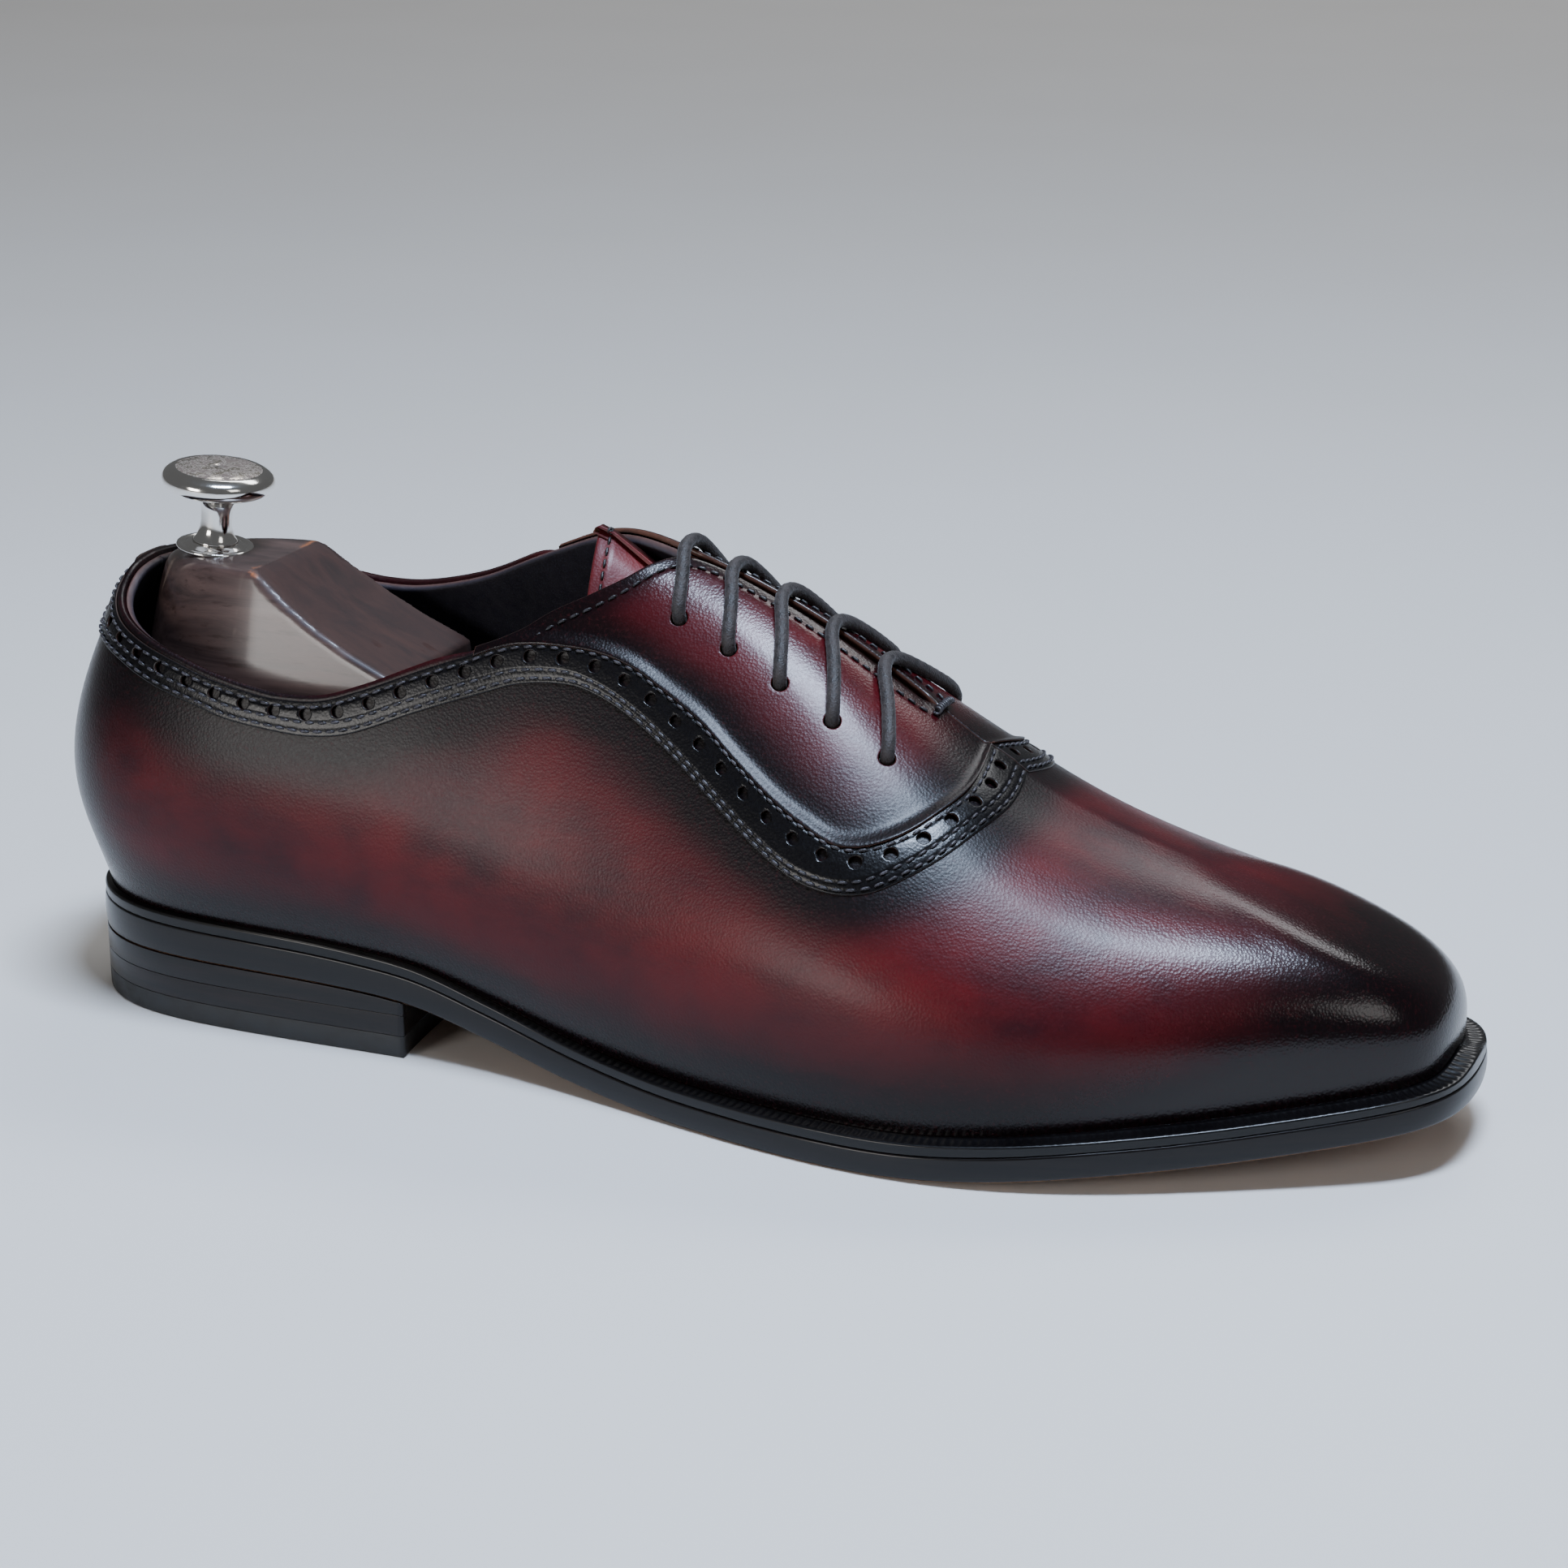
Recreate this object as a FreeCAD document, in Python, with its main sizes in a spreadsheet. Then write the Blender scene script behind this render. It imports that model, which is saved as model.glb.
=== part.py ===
import FreeCAD, Part
import math
import os
from FreeCAD import Vector

# Right-foot leather oxford with a hinged shoe tree in it.
# Millimetres. +X points to the toe, +Z up, the lateral side is -Y, the medial side +Y.
# All the leather lies on one "last" surface, as it would on a shoemaker's last.

os.makedirs("parts", exist_ok=True)
doc = FreeCAD.newDocument("leather_oxford_shoe")

# ---------------------------------------------------------------- dimensions

SIZES = [
    ("UpperThickness", 1.6, "burgundy calf of the body and facings"),
    ("OverlayThickness", 1.1, "punched strip and back strap"),
    ("OverlayGap", 0.05, "glue line under an overlay"),
    ("StiffenerOuter", 1.7, "outer face of the stiffeners below the last surface"),
    ("StiffenerInner", 2.7, "inner face of the stiffeners below the last surface"),
    ("LiningOuter", 2.8, "outer face of the lining below the last surface"),
    ("LiningInner", 3.6, "inner face of the lining below the last surface"),
    ("WeltHeight", 2.6, "rand and welt above the outsole"),
    ("InsoleThickness", 2.4, "leather insole"),
    ("InsoleHeight", 2.8, "insole underside above the outsole"),
    ("SockThickness", 0.8, "sock lining on the insole"),
    ("TopLiftHeight", 4.8, "rubber top lift"),
    ("LiftHeight", 4.6, "lower leather heel lift"),
    ("HeelBreast", 87.0, "front of the heel from the back of the outsole"),
    ("HoleDiameter", 2.6, "brogue hole"),
    ("LaceDiameter", 2.8, "round waxed lace"),
    ("EyeletDiameter", 3.5, "punched lace hole"),
    ("NailDiameter", 1.8, "heel nail"),
    ("NailLength", 8.0, "heel nail"),
    ("KnobDiameter", 24.0, "head of the tree's knob"),
    ("StemDiameter", 7.2, "stem of the tree's knob"),
    ("CollarDiameter", 16.6, "turned collar under the knob"),
    ("PinDiameter", 3.0, "hinge pin of the tree"),
    ("PinLength", 7.0, "hinge pin of the tree"),
    ("PlateHeight", 11.0, "hinge plates of the tree"),
    ("RearPlateThickness", 3.8, "hinge plate in the heel block"),
    ("LeafThickness", 1.5, "hinge leaves in the forepart"),
    ("HingeRunning", 0.05, "radial clearance of the moving hinge plate on its pin"),
]

sheet = doc.addObject("Spreadsheet::Sheet", "Dimensions")
for row, (alias, value, note) in enumerate(SIZES, start=1):
    sheet.set("A%d" % row, str(value))
    sheet.setAlias("A%d" % row, alias)
    sheet.set("B%d" % row, note)
doc.recompute()


def size(alias):
    return float(getattr(sheet, alias))


# ---------------------------------------------------------------- last surface

# Stations round the last, heel to toe:
# lateral x, y, medial x, y of the feather line, ridge x, z, and place along PROFILES.
STATIONS = [
    (2.6, 0, 2.6, 0, 50, 140, 0.0),
    (4.6, -19, 4.6, 19, 53, 139, 0.0),
    (19, -32.5, 19, 31, 60, 135, 0.0),
    (45, -35, 45, 34, 72, 129, 0.3),
    (75, -34.5, 75, 33, 88, 123, 0.7),
    (105, -34, 105, 30, 106, 118.5, 1.0),
    (135, -39, 135, 31, 126, 111.0, 1.6),
    (162, -45, 162, 38, 147, 102.3, 2.1),
    (187, -49.5, 187, 47, 168, 91.3, 2.5),
    (210, -50, 210, 52, 189, 77.2, 3.0),
    (235, -44, 235, 49, 210, 61.8, 3.4),
    (258, -33, 258, 41, 230, 55.4, 3.8),
    (277, -23, 277, 33, 247, 51.8, 4.0),
    (291, -15, 291, 26, 259, 47.4, 4.0),
    (297, -7, 297, 18, 267, 43.6, 4.0),
    (298, 6, 298, 6, 271, 41.8, 4.0),
]

# Rows of one section from the feather line up to the ridge, for heel, waist, instep, ball, toe:
# outward push in mm, fraction of the way in to the ridge, fraction of the way up to it.
PROFILES = [
    [(-.8, 0, 0), (.6, 0, .055), (7.2, 0, .18), (7, 0, .34), (0, .10, .58), (0, .55, .93), (0, 1, 1)],
    [(-.6, 0, 0), (1, 0, .06), (7.2, 0, .20), (4, .08, .42), (0, .30, .68), (0, .66, .95), (0, 1, 1)],
    [(-.3, 0, 0), (1.2, 0, .08), (6.2, .02, .26), (3, .17, .48), (0, .44, .76), (0, .80, .985), (0, 1, 1)],
    [(0, 0, 0), (.9, 0, .11), (4.2, .02, .34), (1.5, .16, .56), (0, .42, .80), (0, .76, .985), (0, 1, 1)],
    [(0, 0, 0), (.6, 0, .16), (1.9, .02, .42), (.3, .12, .66), (0, .40, .86), (0, .72, .965), (0, 1, 1)],
]

# How much higher the ridge itself stands than the rows beside it, along the ridge.
CREST = [(106, 0), (126, 0.4), (147, 1.1), (168, 2.6), (189, 3.9), (210, 4.0), (230, 2.4), (247, 1.3),
         (259, 1.5), (267, 2.2), (271, 2.6)]

# Side view of the outsole: underside and top heights along x.
SOLE_UNDER = [(-12, 14.6), (0, 14.4), (50, 14.2), (75, 13.4), (90, 11.8), (107, 7.6), (126, 3.2),
              (146, 0.8), (165, 0.15), (190, 0.1), (205, 0.5), (220, 1.6), (240, 3.7), (260, 5.7),
              (280, 8.2), (306, 12.0), (316, 13.4)]
SOLE_TOP = [(-12, 22.3), (0, 22.0), (30, 21.2), (60, 20.5), (75, 19.6), (90, 17.8), (107, 13.3),
            (126, 8.7), (146, 6.0), (165, 5.3), (190, 5.3), (205, 5.7), (220, 6.9), (240, 9.0),
            (260, 11.0), (280, 13.5), (300, 16.4), (316, 18.7)]

# How far the outsole's edge stands out from the feather line, along x.
SOLE_MARGIN = [(-12, 2.3), (0, 2.3), (60, 2.2), (110, 2.7), (160, 4.1), (200, 4.5), (306, 5.0)]

CENTRE_X = 149.15
CENTRE_Y = 0.65
ABOVE_SOLE = 0.1


def lerp_table(table, x):
    if x <= table[0][0]:
        return table[0][1]
    for (x0, y0), (x1, y1) in zip(table, table[1:]):
        if x <= x1:
            return y0 + (y1 - y0) * (x - x0) / (x1 - x0)
    return table[-1][1]


def smooth_table(table, x):
    """Cubic Hermite curve through the table."""
    x = min(max(x, table[0][0]), table[-1][0])
    i = 0
    while i < len(table) - 2 and x > table[i + 1][0]:
        i += 1
    (x0, y0), (x1, y1) = table[i], table[i + 1]
    before = table[max(i - 1, 0)]
    after = table[min(i + 2, len(table) - 1)]
    slope0 = (y1 - before[1]) / (x1 - before[0])
    slope1 = (after[1] - y0) / (after[0] - x0)
    h = x1 - x0
    u = (x - x0) / h
    return ((2 * u ** 3 - 3 * u ** 2 + 1) * y0 + (u ** 3 - 2 * u ** 2 + u) * h * slope0
            + (3 * u ** 2 - 2 * u ** 3) * y1 + (u ** 3 - u ** 2) * h * slope1)


def profile_at(place):
    i = int(min(place, len(PROFILES) - 1.0001))
    u = place - i
    rows = zip(PROFILES[i], PROFILES[i + 1])
    return [tuple(a * (1 - u) + b * u for a, b in zip(p, q)) for p, q in rows]


def last_net():
    """Columns round the last; each row holds x, y and the height above the sole top."""
    medial = STATIONS[-2:0:-1]
    feather = [(s[0], s[1]) for s in STATIONS] + [(s[2], s[3]) for s in medial]
    ridge = [(s[4], s[5]) for s in STATIONS] + [(s[4], s[5]) for s in medial]
    place = [s[6] for s in STATIONS] + [s[6] for s in medial]
    count = len(feather)
    net = []
    for i in range(count):
        ax, ay = feather[(i - 1) % count]
        bx, by = feather[(i + 1) % count]
        length = math.hypot(bx - ax, by - ay)
        nx, ny = (by - ay) / length, -(bx - ax) / length
        fx, fy = feather[i]
        rx, rz = ridge[i]
        column = []
        crest = lerp_table(CREST, rx)
        for out, inward, up in profile_at(place[i]):
            column.append((fx + (rx - fx) * inward + nx * out,
                           fy - fy * inward + ny * out,
                           (rz - lerp_table(SOLE_TOP, fx)) * up + (crest if inward >= 1 else 0.0)))
        net.append(column)
    return net


NET = last_net()
ROWS = len(PROFILES[0])
KNOTS = [0.0] * 3 + [i / (ROWS - 3) for i in range(ROWS - 2)] + [1.0] * 3


def basis(i, degree, t):
    if degree == 0:
        inside = KNOTS[i] <= t < KNOTS[i + 1]
        at_end = t >= 1.0 and KNOTS[i] < KNOTS[i + 1] and KNOTS[i + 1] >= 1.0
        return 1.0 if inside or at_end else 0.0
    value = 0.0
    if KNOTS[i + degree] > KNOTS[i]:
        value += (t - KNOTS[i]) / (KNOTS[i + degree] - KNOTS[i]) * basis(i, degree - 1, t)
    if KNOTS[i + degree + 1] > KNOTS[i + 1]:
        value += ((KNOTS[i + degree + 1] - t) / (KNOTS[i + degree + 1] - KNOTS[i + 1])
                  * basis(i + 1, degree - 1, t))
    return value


def round_weights(s):
    """First column and the four cubic weights of a place s round the last."""
    place = (s % 1.0) * len(NET)
    i = int(math.floor(place))
    u = place - i
    weights = ((1 - u) ** 3 / 6, (3 * u ** 3 - 6 * u ** 2 + 4) / 6,
               (-3 * u ** 3 + 3 * u ** 2 + 3 * u + 1) / 6, u ** 3 / 6)
    return i - 1, weights


row_weight_cache = {}


def up_weights(t):
    key = round(t, 9)
    if key not in row_weight_cache:
        row_weight_cache[key] = [basis(j, 3, min(max(t, 0.0), 1.0)) for j in range(ROWS)]
    return row_weight_cache[key]


def toe_dome(x, y, z):
    """Height over the toe, where the ridge ends, faired into one smooth dome."""
    share = min(max(1.15 - ((x - 272.0) / 26.0) ** 2 - ((y - 4.0) / 21.0) ** 2, 0.0), 1.0)
    share = share * share * (3.0 - 2.0 * share)
    ahead, aside = x - 260.0, y - 4.0
    dome = 49.0 - 0.30 * ahead - 0.0034 * ahead ** 2 - 0.0018 * aside ** 2 - 1.1e-5 * aside ** 4
    return z + share * (dome - z)


def last_point(s, t):
    """Point of the last surface: s goes round from the heel (lateral first), t from feather to ridge."""
    first, across = round_weights(s)
    up = up_weights(t)
    x = y = h = foot = 0.0
    for k in range(4):
        column = NET[(first + k) % len(NET)]
        foot += across[k] * column[0][0]
        for j in range(ROWS):
            weight = across[k] * up[j]
            x += weight * column[j][0]
            y += weight * column[j][1]
            h += weight * column[j][2]
    return Vector(x, y, toe_dome(x, y, h + smooth_table(SOLE_TOP, foot) + ABOVE_SOLE))


def last_normal(s, t):
    t = min(t, 0.992)
    low, high = max(t - 0.004, 0.0), t + 0.004
    along = last_point(s + 0.001, t) - last_point(s - 0.001, t)
    upward = last_point(s, high) - last_point(s, low)
    normal = along.cross(upward)
    normal.normalize()
    return normal


def leather_point(s, t, offset):
    return last_point(s, t) + last_normal(s, t) * offset


# ---------------------------------------------------------------- flattened map of the last

FAN_COUNT = 600
FAN = []
for fan_index in range(FAN_COUNT + 1):
    fan_s = fan_index / FAN_COUNT
    FAN.append((last_point(fan_s, 0.0), last_point(fan_s, 1.0)))


def flatten(s, t):
    """Plan position of (s, t) on a flat map that has no folds."""
    foot = last_point(s, 0.0)
    ridge = last_point(s, 1.0)
    return (foot.x + (ridge.x - foot.x) * t, foot.y + (ridge.y - foot.y) * t)


def side_of_line(s, x, y):
    foot = last_point(s, 0.0)
    ridge = last_point(s, 1.0)
    return (ridge.x - foot.x) * (y - foot.y) - (ridge.y - foot.y) * (x - foot.x)


def fraction_up(foot, ridge, x, y):
    """How far (x, y) lies along the flat line from a foot point to its ridge point."""
    dx, dy = ridge.x - foot.x, ridge.y - foot.y
    return ((x - foot.x) * dx + (y - foot.y) * dy) / (dx * dx + dy * dy)


def unflatten(x, y):
    """The (s, t) whose flat map position is (x, y)."""
    best = None
    for i in range(FAN_COUNT):
        (f0, r0), (f1, r1) = FAN[i], FAN[i + 1]
        a = (r0.x - f0.x) * (y - f0.y) - (r0.y - f0.y) * (x - f0.x)
        b = (r1.x - f1.x) * (y - f1.y) - (r1.y - f1.y) * (x - f1.x)
        if a * b <= 0:
            t = fraction_up(f0, r0, x, y)
            outside = max(-t, t - 1.0, 0.0)
            if best is None or outside < best[1]:
                best = (i, outside, a)
    if best is None:
        raise ValueError("no place on the last for %.2f, %.2f" % (x, y))
    low, high = best[0] / FAN_COUNT, (best[0] + 1) / FAN_COUNT
    value = best[2]
    for _ in range(40):
        middle = (low + high) / 2
        here = side_of_line(middle, x, y)
        if here * value > 0:
            low = middle
            value = here
        else:
            high = middle
    s = (low + high) / 2
    t = fraction_up(last_point(s, 0.0), last_point(s, 1.0), x, y)
    return s, min(max(t, 0.0), 1.0)


# ---------------------------------------------------------------- pattern lines on the last

class PatternLine:
    """Smooth line through (s, t) points, evaluated by a fraction of its length."""

    def __init__(self, points, mirrored=False):
        if mirrored:
            points = [(1.0 - s, t) for s, t in points]
        self.points = points
        places = [last_point(s, t) for s, t in points]
        self.marks = [0.0]
        for a, b in zip(places, places[1:]):
            self.marks.append(self.marks[-1] + (b - a).Length)
        self.length = self.marks[-1]

    def at(self, u):
        place = min(max(u, 0.0), 1.0) * self.length
        i = 0
        while i < len(self.marks) - 2 and place > self.marks[i + 1]:
            i += 1
        marks, points = self.marks, self.points
        last = len(points) - 1
        result = []
        for axis in range(2):
            h = marks[i + 1] - marks[i]
            a, b = max(i - 1, 0), min(i + 2, last)
            slope0 = (points[i + 1][axis] - points[a][axis]) / (marks[i + 1] - marks[a])
            slope1 = (points[b][axis] - points[i][axis]) / (marks[b] - marks[i])
            f = (place - marks[i]) / h
            result.append((2 * f ** 3 - 3 * f ** 2 + 1) * points[i][axis]
                          + (f ** 3 - 2 * f ** 2 + f) * h * slope0
                          + (3 * f ** 2 - 2 * f ** 3) * points[i + 1][axis]
                          + (f ** 3 - f ** 2) * h * slope1)
        return result[0], result[1]

    def fraction_at(self, s):
        """Fraction of the length where the line first passes the place s."""
        low, high = 0.0, 1.0
        rising = self.points[-1][0] > self.points[0][0]
        for _ in range(50):
            middle = (low + high) / 2
            if (self.at(middle)[0] < s) == rising:
                low = middle
            else:
                high = middle
        return (low + high) / 2


# Topline from the back seam to the front of the ankle opening, then the facing edge to the throat.
TOPLINE_LATERAL = [(0, .735), (.02, .730), (.035, .716), (.050, .703), (.066, .690), (.082, .673),
                   (.093, .657), (.104, .642), (.113, .633), (.124, .635), (.133, .656), (.145, .692),
                   (.158, .733), (.171, .777), (.180, .817), (.191, .857), (.200, .893), (.207, .928),
                   (.2135, .957), (.220, .976), (.228, .984)]
TOPLINE_MEDIAL = [(0, .735), (.02, .732), (.035, .724), (.050, .718), (.066, .714), (.082, .710),
                  (.093, .706), (.102, .702), (.113, .706), (.126, .726), (.139, .756), (.153, .799),
                  (.168, .853), (.178, .889), (.186, .916), (.194, .938), (.202, .955),
                  (.210, .968), (.218, .978), (.228, .984)]
FACING_EDGE = [(.228, .984), (.240, .985), (.255, .985), (.270, .985), (.285, .985), (.298, .988),
               (.303, .998)]
# Upper and lower edges of the punched strip.
STRIP_TOP_LATERAL = [(.0125, .727), (.035, .708), (.050, .694), (.066, .681), (.082, .664),
                     (.093, .647), (.104, .632), (.113, .623), (.124, .625), (.133, .646),
                     (.145, .681), (.158, .722), (.166, .750), (.173, .766), (.183, .778),
                     (.194, .784), (.205, .778), (.216, .758), (.228, .730), (.239, .691),
                     (.251, .652), (.261, .630), (.270, .620), (.279, .642), (.290, .699),
                     (.301, .781), (.311, .870), (.321, .998)]
STRIP_LOW_LATERAL = [(.0125, .665), (.035, .651), (.050, .648), (.063, .641), (.080, .617),
                     (.092, .598), (.102, .578), (.116, .563), (.124, .560), (.133, .571),
                     (.148, .620), (.166, .684), (.175, .710), (.188, .727), (.198, .720),
                     (.209, .697), (.220, .662), (.234, .605), (.248, .551), (.259, .522),
                     (.270, .522), (.280, .549), (.290, .605), (.301, .684), (.312, .780),
                     (.325, .898), (.334, .998)]
STRIP_TOP_MEDIAL = [(.0125, .727), (.035, .715), (.050, .709), (.066, .705), (.082, .701),
                    (.093, .697), (.102, .693), (.113, .697), (.126, .716), (.139, .744),
                    (.150, .775), (.160, .794), (.172, .803), (.183, .803), (.194, .797),
                    (.205, .784), (.216, .760), (.228, .730), (.239, .691), (.251, .652),
                    (.261, .630), (.270, .620), (.279, .642), (.290, .699), (.301, .781),
                    (.311, .870), (.321, .998)]
STRIP_LOW_MEDIAL = [(.0125, .665), (.035, .658), (.050, .657), (.066, .655), (.082, .650),
                    (.093, .643), (.105, .637), (.116, .641), (.126, .656), (.139, .688),
                    (.150, .714), (.166, .739), (.178, .744), (.188, .738), (.198, .725),
                    (.209, .699), (.220, .662), (.234, .605), (.248, .551), (.259, .522),
                    (.270, .522), (.280, .549), (.290, .605), (.301, .684), (.312, .780),
                    (.325, .898), (.334, .998)]
EYELETS = [(.218, .862), (.2343, .847), (.251, .834), (.268, .824), (.2855, .822)]
"""Lace holes of one side, top to bottom."""

JOIN_START = 0.150
JOIN_FULL = 0.172
QUARTER_END = 0.290


def pattern(side):
    """The pattern lines of one side."""
    lateral = side == "lateral"
    top = TOPLINE_LATERAL if lateral else TOPLINE_MEDIAL
    strip_top = STRIP_TOP_LATERAL if lateral else STRIP_TOP_MEDIAL
    strip_low = STRIP_LOW_LATERAL if lateral else STRIP_LOW_MEDIAL
    mirrored = not lateral
    return {
        "top": PatternLine(top, mirrored),
        "edge": PatternLine(FACING_EDGE, mirrored),
        "opening": PatternLine(top + FACING_EDGE[1:], mirrored),
        "strip_top": PatternLine(strip_top, mirrored),
        "strip_low": PatternLine(strip_low, mirrored),
        "mirrored": mirrored,
    }


PATTERNS = {"lateral": pattern("lateral"), "medial": pattern("medial")}


def own_s(lines, s):
    return 1.0 - s if lines["mirrored"] else s


def height_on(line, s):
    return line.at(line.fraction_at(s))[1]


def join_height(lines, s):
    """Height t of the hidden edge between body and facing, for a place s given on the lateral scale."""
    place = own_s(lines, s)
    middle = (height_on(lines["strip_top"], place) + height_on(lines["strip_low"], place)) / 2
    if s >= JOIN_FULL:
        return middle
    top = height_on(lines["top"], place)
    if s <= JOIN_START:
        return top
    blend = (s - JOIN_START) / (JOIN_FULL - JOIN_START)
    blend = blend * blend * (3 - 2 * blend)
    return top + (middle - top) * blend


def join_line(lines, start, count=26):
    """Hidden edge from a lateral-scale start up to the ridge."""
    points = []
    top_start = lines["strip_top"].fraction_at(own_s(lines, start))
    low_start = lines["strip_low"].fraction_at(own_s(lines, start))
    for i in range(count + 1):
        u = i / count
        a = lines["strip_top"].at(top_start + (1 - top_start) * u)
        b = lines["strip_low"].at(low_start + (1 - low_start) * u)
        points.append(((a[0] + b[0]) / 2, (a[1] + b[1]) / 2))
    return PatternLine(points)


# ---------------------------------------------------------------- solids from grids of poles

def knot_vector(count):
    spans = count - 3
    knots = [i / spans for i in range(spans + 1)]
    return knots, [4] + [1] * (spans - 1) + [4]


def greville(count):
    """Places along a direction whose samples become the poles of a cubic surface."""
    knots, multiplicities = knot_vector(count)
    full = []
    for knot, repeats in zip(knots, multiplicities):
        full += [knot] * repeats
    return [(full[i + 1] + full[i + 2] + full[i + 3]) / 3 for i in range(count)]


def sharpen(points):
    """Move interior poles outward so that the cubic passes close to the samples."""
    result = list(points)
    for i in range(2, len(points) - 2):
        result[i] = points[i] - (points[i - 1] + points[i + 1] - points[i] * 2) * (1.0 / 6.0)
    return result


def sharpen_grid(grid):
    rows = [sharpen(row) for row in grid]
    columns = [sharpen([row[j] for row in rows]) for j in range(len(rows[0]))]
    return [[columns[j][i] for j in range(len(columns))] for i in range(len(rows))]


def cubic_face(poles):
    u_knots, u_mults = knot_vector(len(poles))
    v_knots, v_mults = knot_vector(len(poles[0]))
    surface = Part.BSplineSurface()
    surface.buildFromPolesMultsKnots(poles, u_mults, v_mults, u_knots, v_knots, False, False, 3, 3)
    return surface.toShape()


def wall_face(row_a, row_b):
    """Straight wall between two pole rows."""
    u_knots, u_mults = knot_vector(len(row_a))
    poles = [[a, b] for a, b in zip(row_a, row_b)]
    surface = Part.BSplineSurface()
    surface.buildFromPolesMultsKnots(poles, u_mults, [2, 2], u_knots, [0.0, 1.0], False, False, 3, 1)
    return surface.toShape()


def sides_of(grid):
    return {
        "start": list(grid[0]),
        "end": list(grid[-1]),
        "low": [row[0] for row in grid],
        "high": [row[-1] for row in grid],
    }


def solid_from_faces(faces):
    shell = Part.makeShell(faces)
    shell.sewShape(0.001)
    if shell.ShapeType != "Shell":
        shell = shell.Shells[0]
    solid = Part.makeSolid(shell)
    if solid.Volume < 0:
        solid.reverse()
    return solid


def block(inner, outer, open_sides=()):
    """Faces of a block between two pole grids, without the sides that join another block."""
    faces = [cubic_face(inner), cubic_face(outer)]
    inner_sides, outer_sides = sides_of(inner), sides_of(outer)
    for name in ("start", "end", "low", "high"):
        if name not in open_sides:
            faces.append(wall_face(inner_sides[name], outer_sides[name]))
    return faces


def leather_grids(place, u_count, v_count, inner, outer):
    """Two pole grids of one leather piece; place(u, v) gives (s, t)."""
    us, vs = greville(u_count), greville(v_count)
    places = [[place(u, v) for v in vs] for u in us]
    grids = []
    for depth in (inner, outer):
        grid = []
        for row in places:
            grid.append([leather_point(s, t, depth) for s, t in row])
        grids.append(sharpen_grid(grid))
    return grids


def shifted(shape):
    moved = shape.copy()
    moved.translate(Vector(-CENTRE_X, -CENTRE_Y, 0))
    return moved


def feature(name, shape):
    item = doc.addObject("Part::Feature", name)
    item.Label = name
    item.Shape = shifted(shape)
    return item


NODES = []


def add_node(item):
    NODES.append(item)
    return item


def add_leather(name, place, u_count, v_count, inner, outer, cuts=None):
    grids = leather_grids(place, u_count, v_count, inner, outer)
    solid = solid_from_faces(block(grids[0], grids[1]))
    if cuts:
        solid = solid.cut(cuts)
    return add_node(feature(name, solid))


def blend(a, b, v):
    return (a[0] + (b[0] - a[0]) * v, a[1] + (b[1] - a[1]) * v)


def coons(low, high, start, end, u, v):
    """Place inside four border curves on the flat map."""
    a, b = low(u), high(u)
    c, d = start(v), end(v)
    p00, p10, p01, p11 = low(0), low(1), high(0), high(1)
    result = []
    for k in range(2):
        lofted = (1 - v) * a[k] + v * b[k]
        crossed = (1 - u) * c[k] + u * d[k]
        corners = ((1 - u) * (1 - v) * p00[k] + u * (1 - v) * p10[k]
                   + (1 - u) * v * p01[k] + u * v * p11[k])
        result.append(lofted + crossed - corners)
    return unflatten(result[0], result[1])


def punch(s, t, diameter, depth):
    """Cylinder that punches the leather at (s, t)."""
    centre = last_point(s, t)
    normal = last_normal(s, t)
    start = centre + normal * 4.0
    return Part.makeCylinder(diameter / 2, 4.0 + depth, start, normal * -1)


# ---------------------------------------------------------------- upper

def make_body():
    """Whole-cut body: two quarters and the vamp on one piece of leather."""
    lateral, medial = PATTERNS["lateral"], PATTERNS["medial"]
    thickness = size("UpperThickness")

    def quarter(lines):
        def place(u, v):
            s = 0.0012 + (QUARTER_END - 0.0012) * u
            return own_s(lines, s), join_height(lines, s) * v
        return place

    lateral_arc = join_line(lateral, QUARTER_END)
    medial_arc = join_line(medial, QUARTER_END)
    total = lateral_arc.length + medial_arc.length

    def arc(u):
        distance = u * total
        if distance <= lateral_arc.length:
            s, t = lateral_arc.at(distance / lateral_arc.length)
        else:
            s, t = medial_arc.at((total - distance) / medial_arc.length)
        return flatten(s, min(t, 1.0))

    def loop(u):
        return flatten(QUARTER_END + (1 - 2 * QUARTER_END) * u, 0.0)

    lateral_top = join_height(lateral, QUARTER_END)
    medial_top = join_height(medial, QUARTER_END)

    def vamp(u, v):
        if u <= 0:
            return QUARTER_END, lateral_top * v
        if u >= 1:
            return 1.0 - QUARTER_END, medial_top * v
        return coons(loop, arc,
                     lambda w: flatten(QUARTER_END, lateral_top * w),
                     lambda w: flatten(1.0 - QUARTER_END, medial_top * w), u, v)

    rows = 14
    faces = []
    for place, columns, open_sides in (
            (quarter(lateral), 62, ("end",)),
            (quarter(medial), 62, ("end",)),
            (vamp, 66, ("start", "end"))):
        grids = leather_grids(place, columns, rows, -thickness, 0.0)
        faces += block(grids[0], grids[1], open_sides)
    add_node(feature("upper_body", solid_from_faces(faces)))


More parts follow.
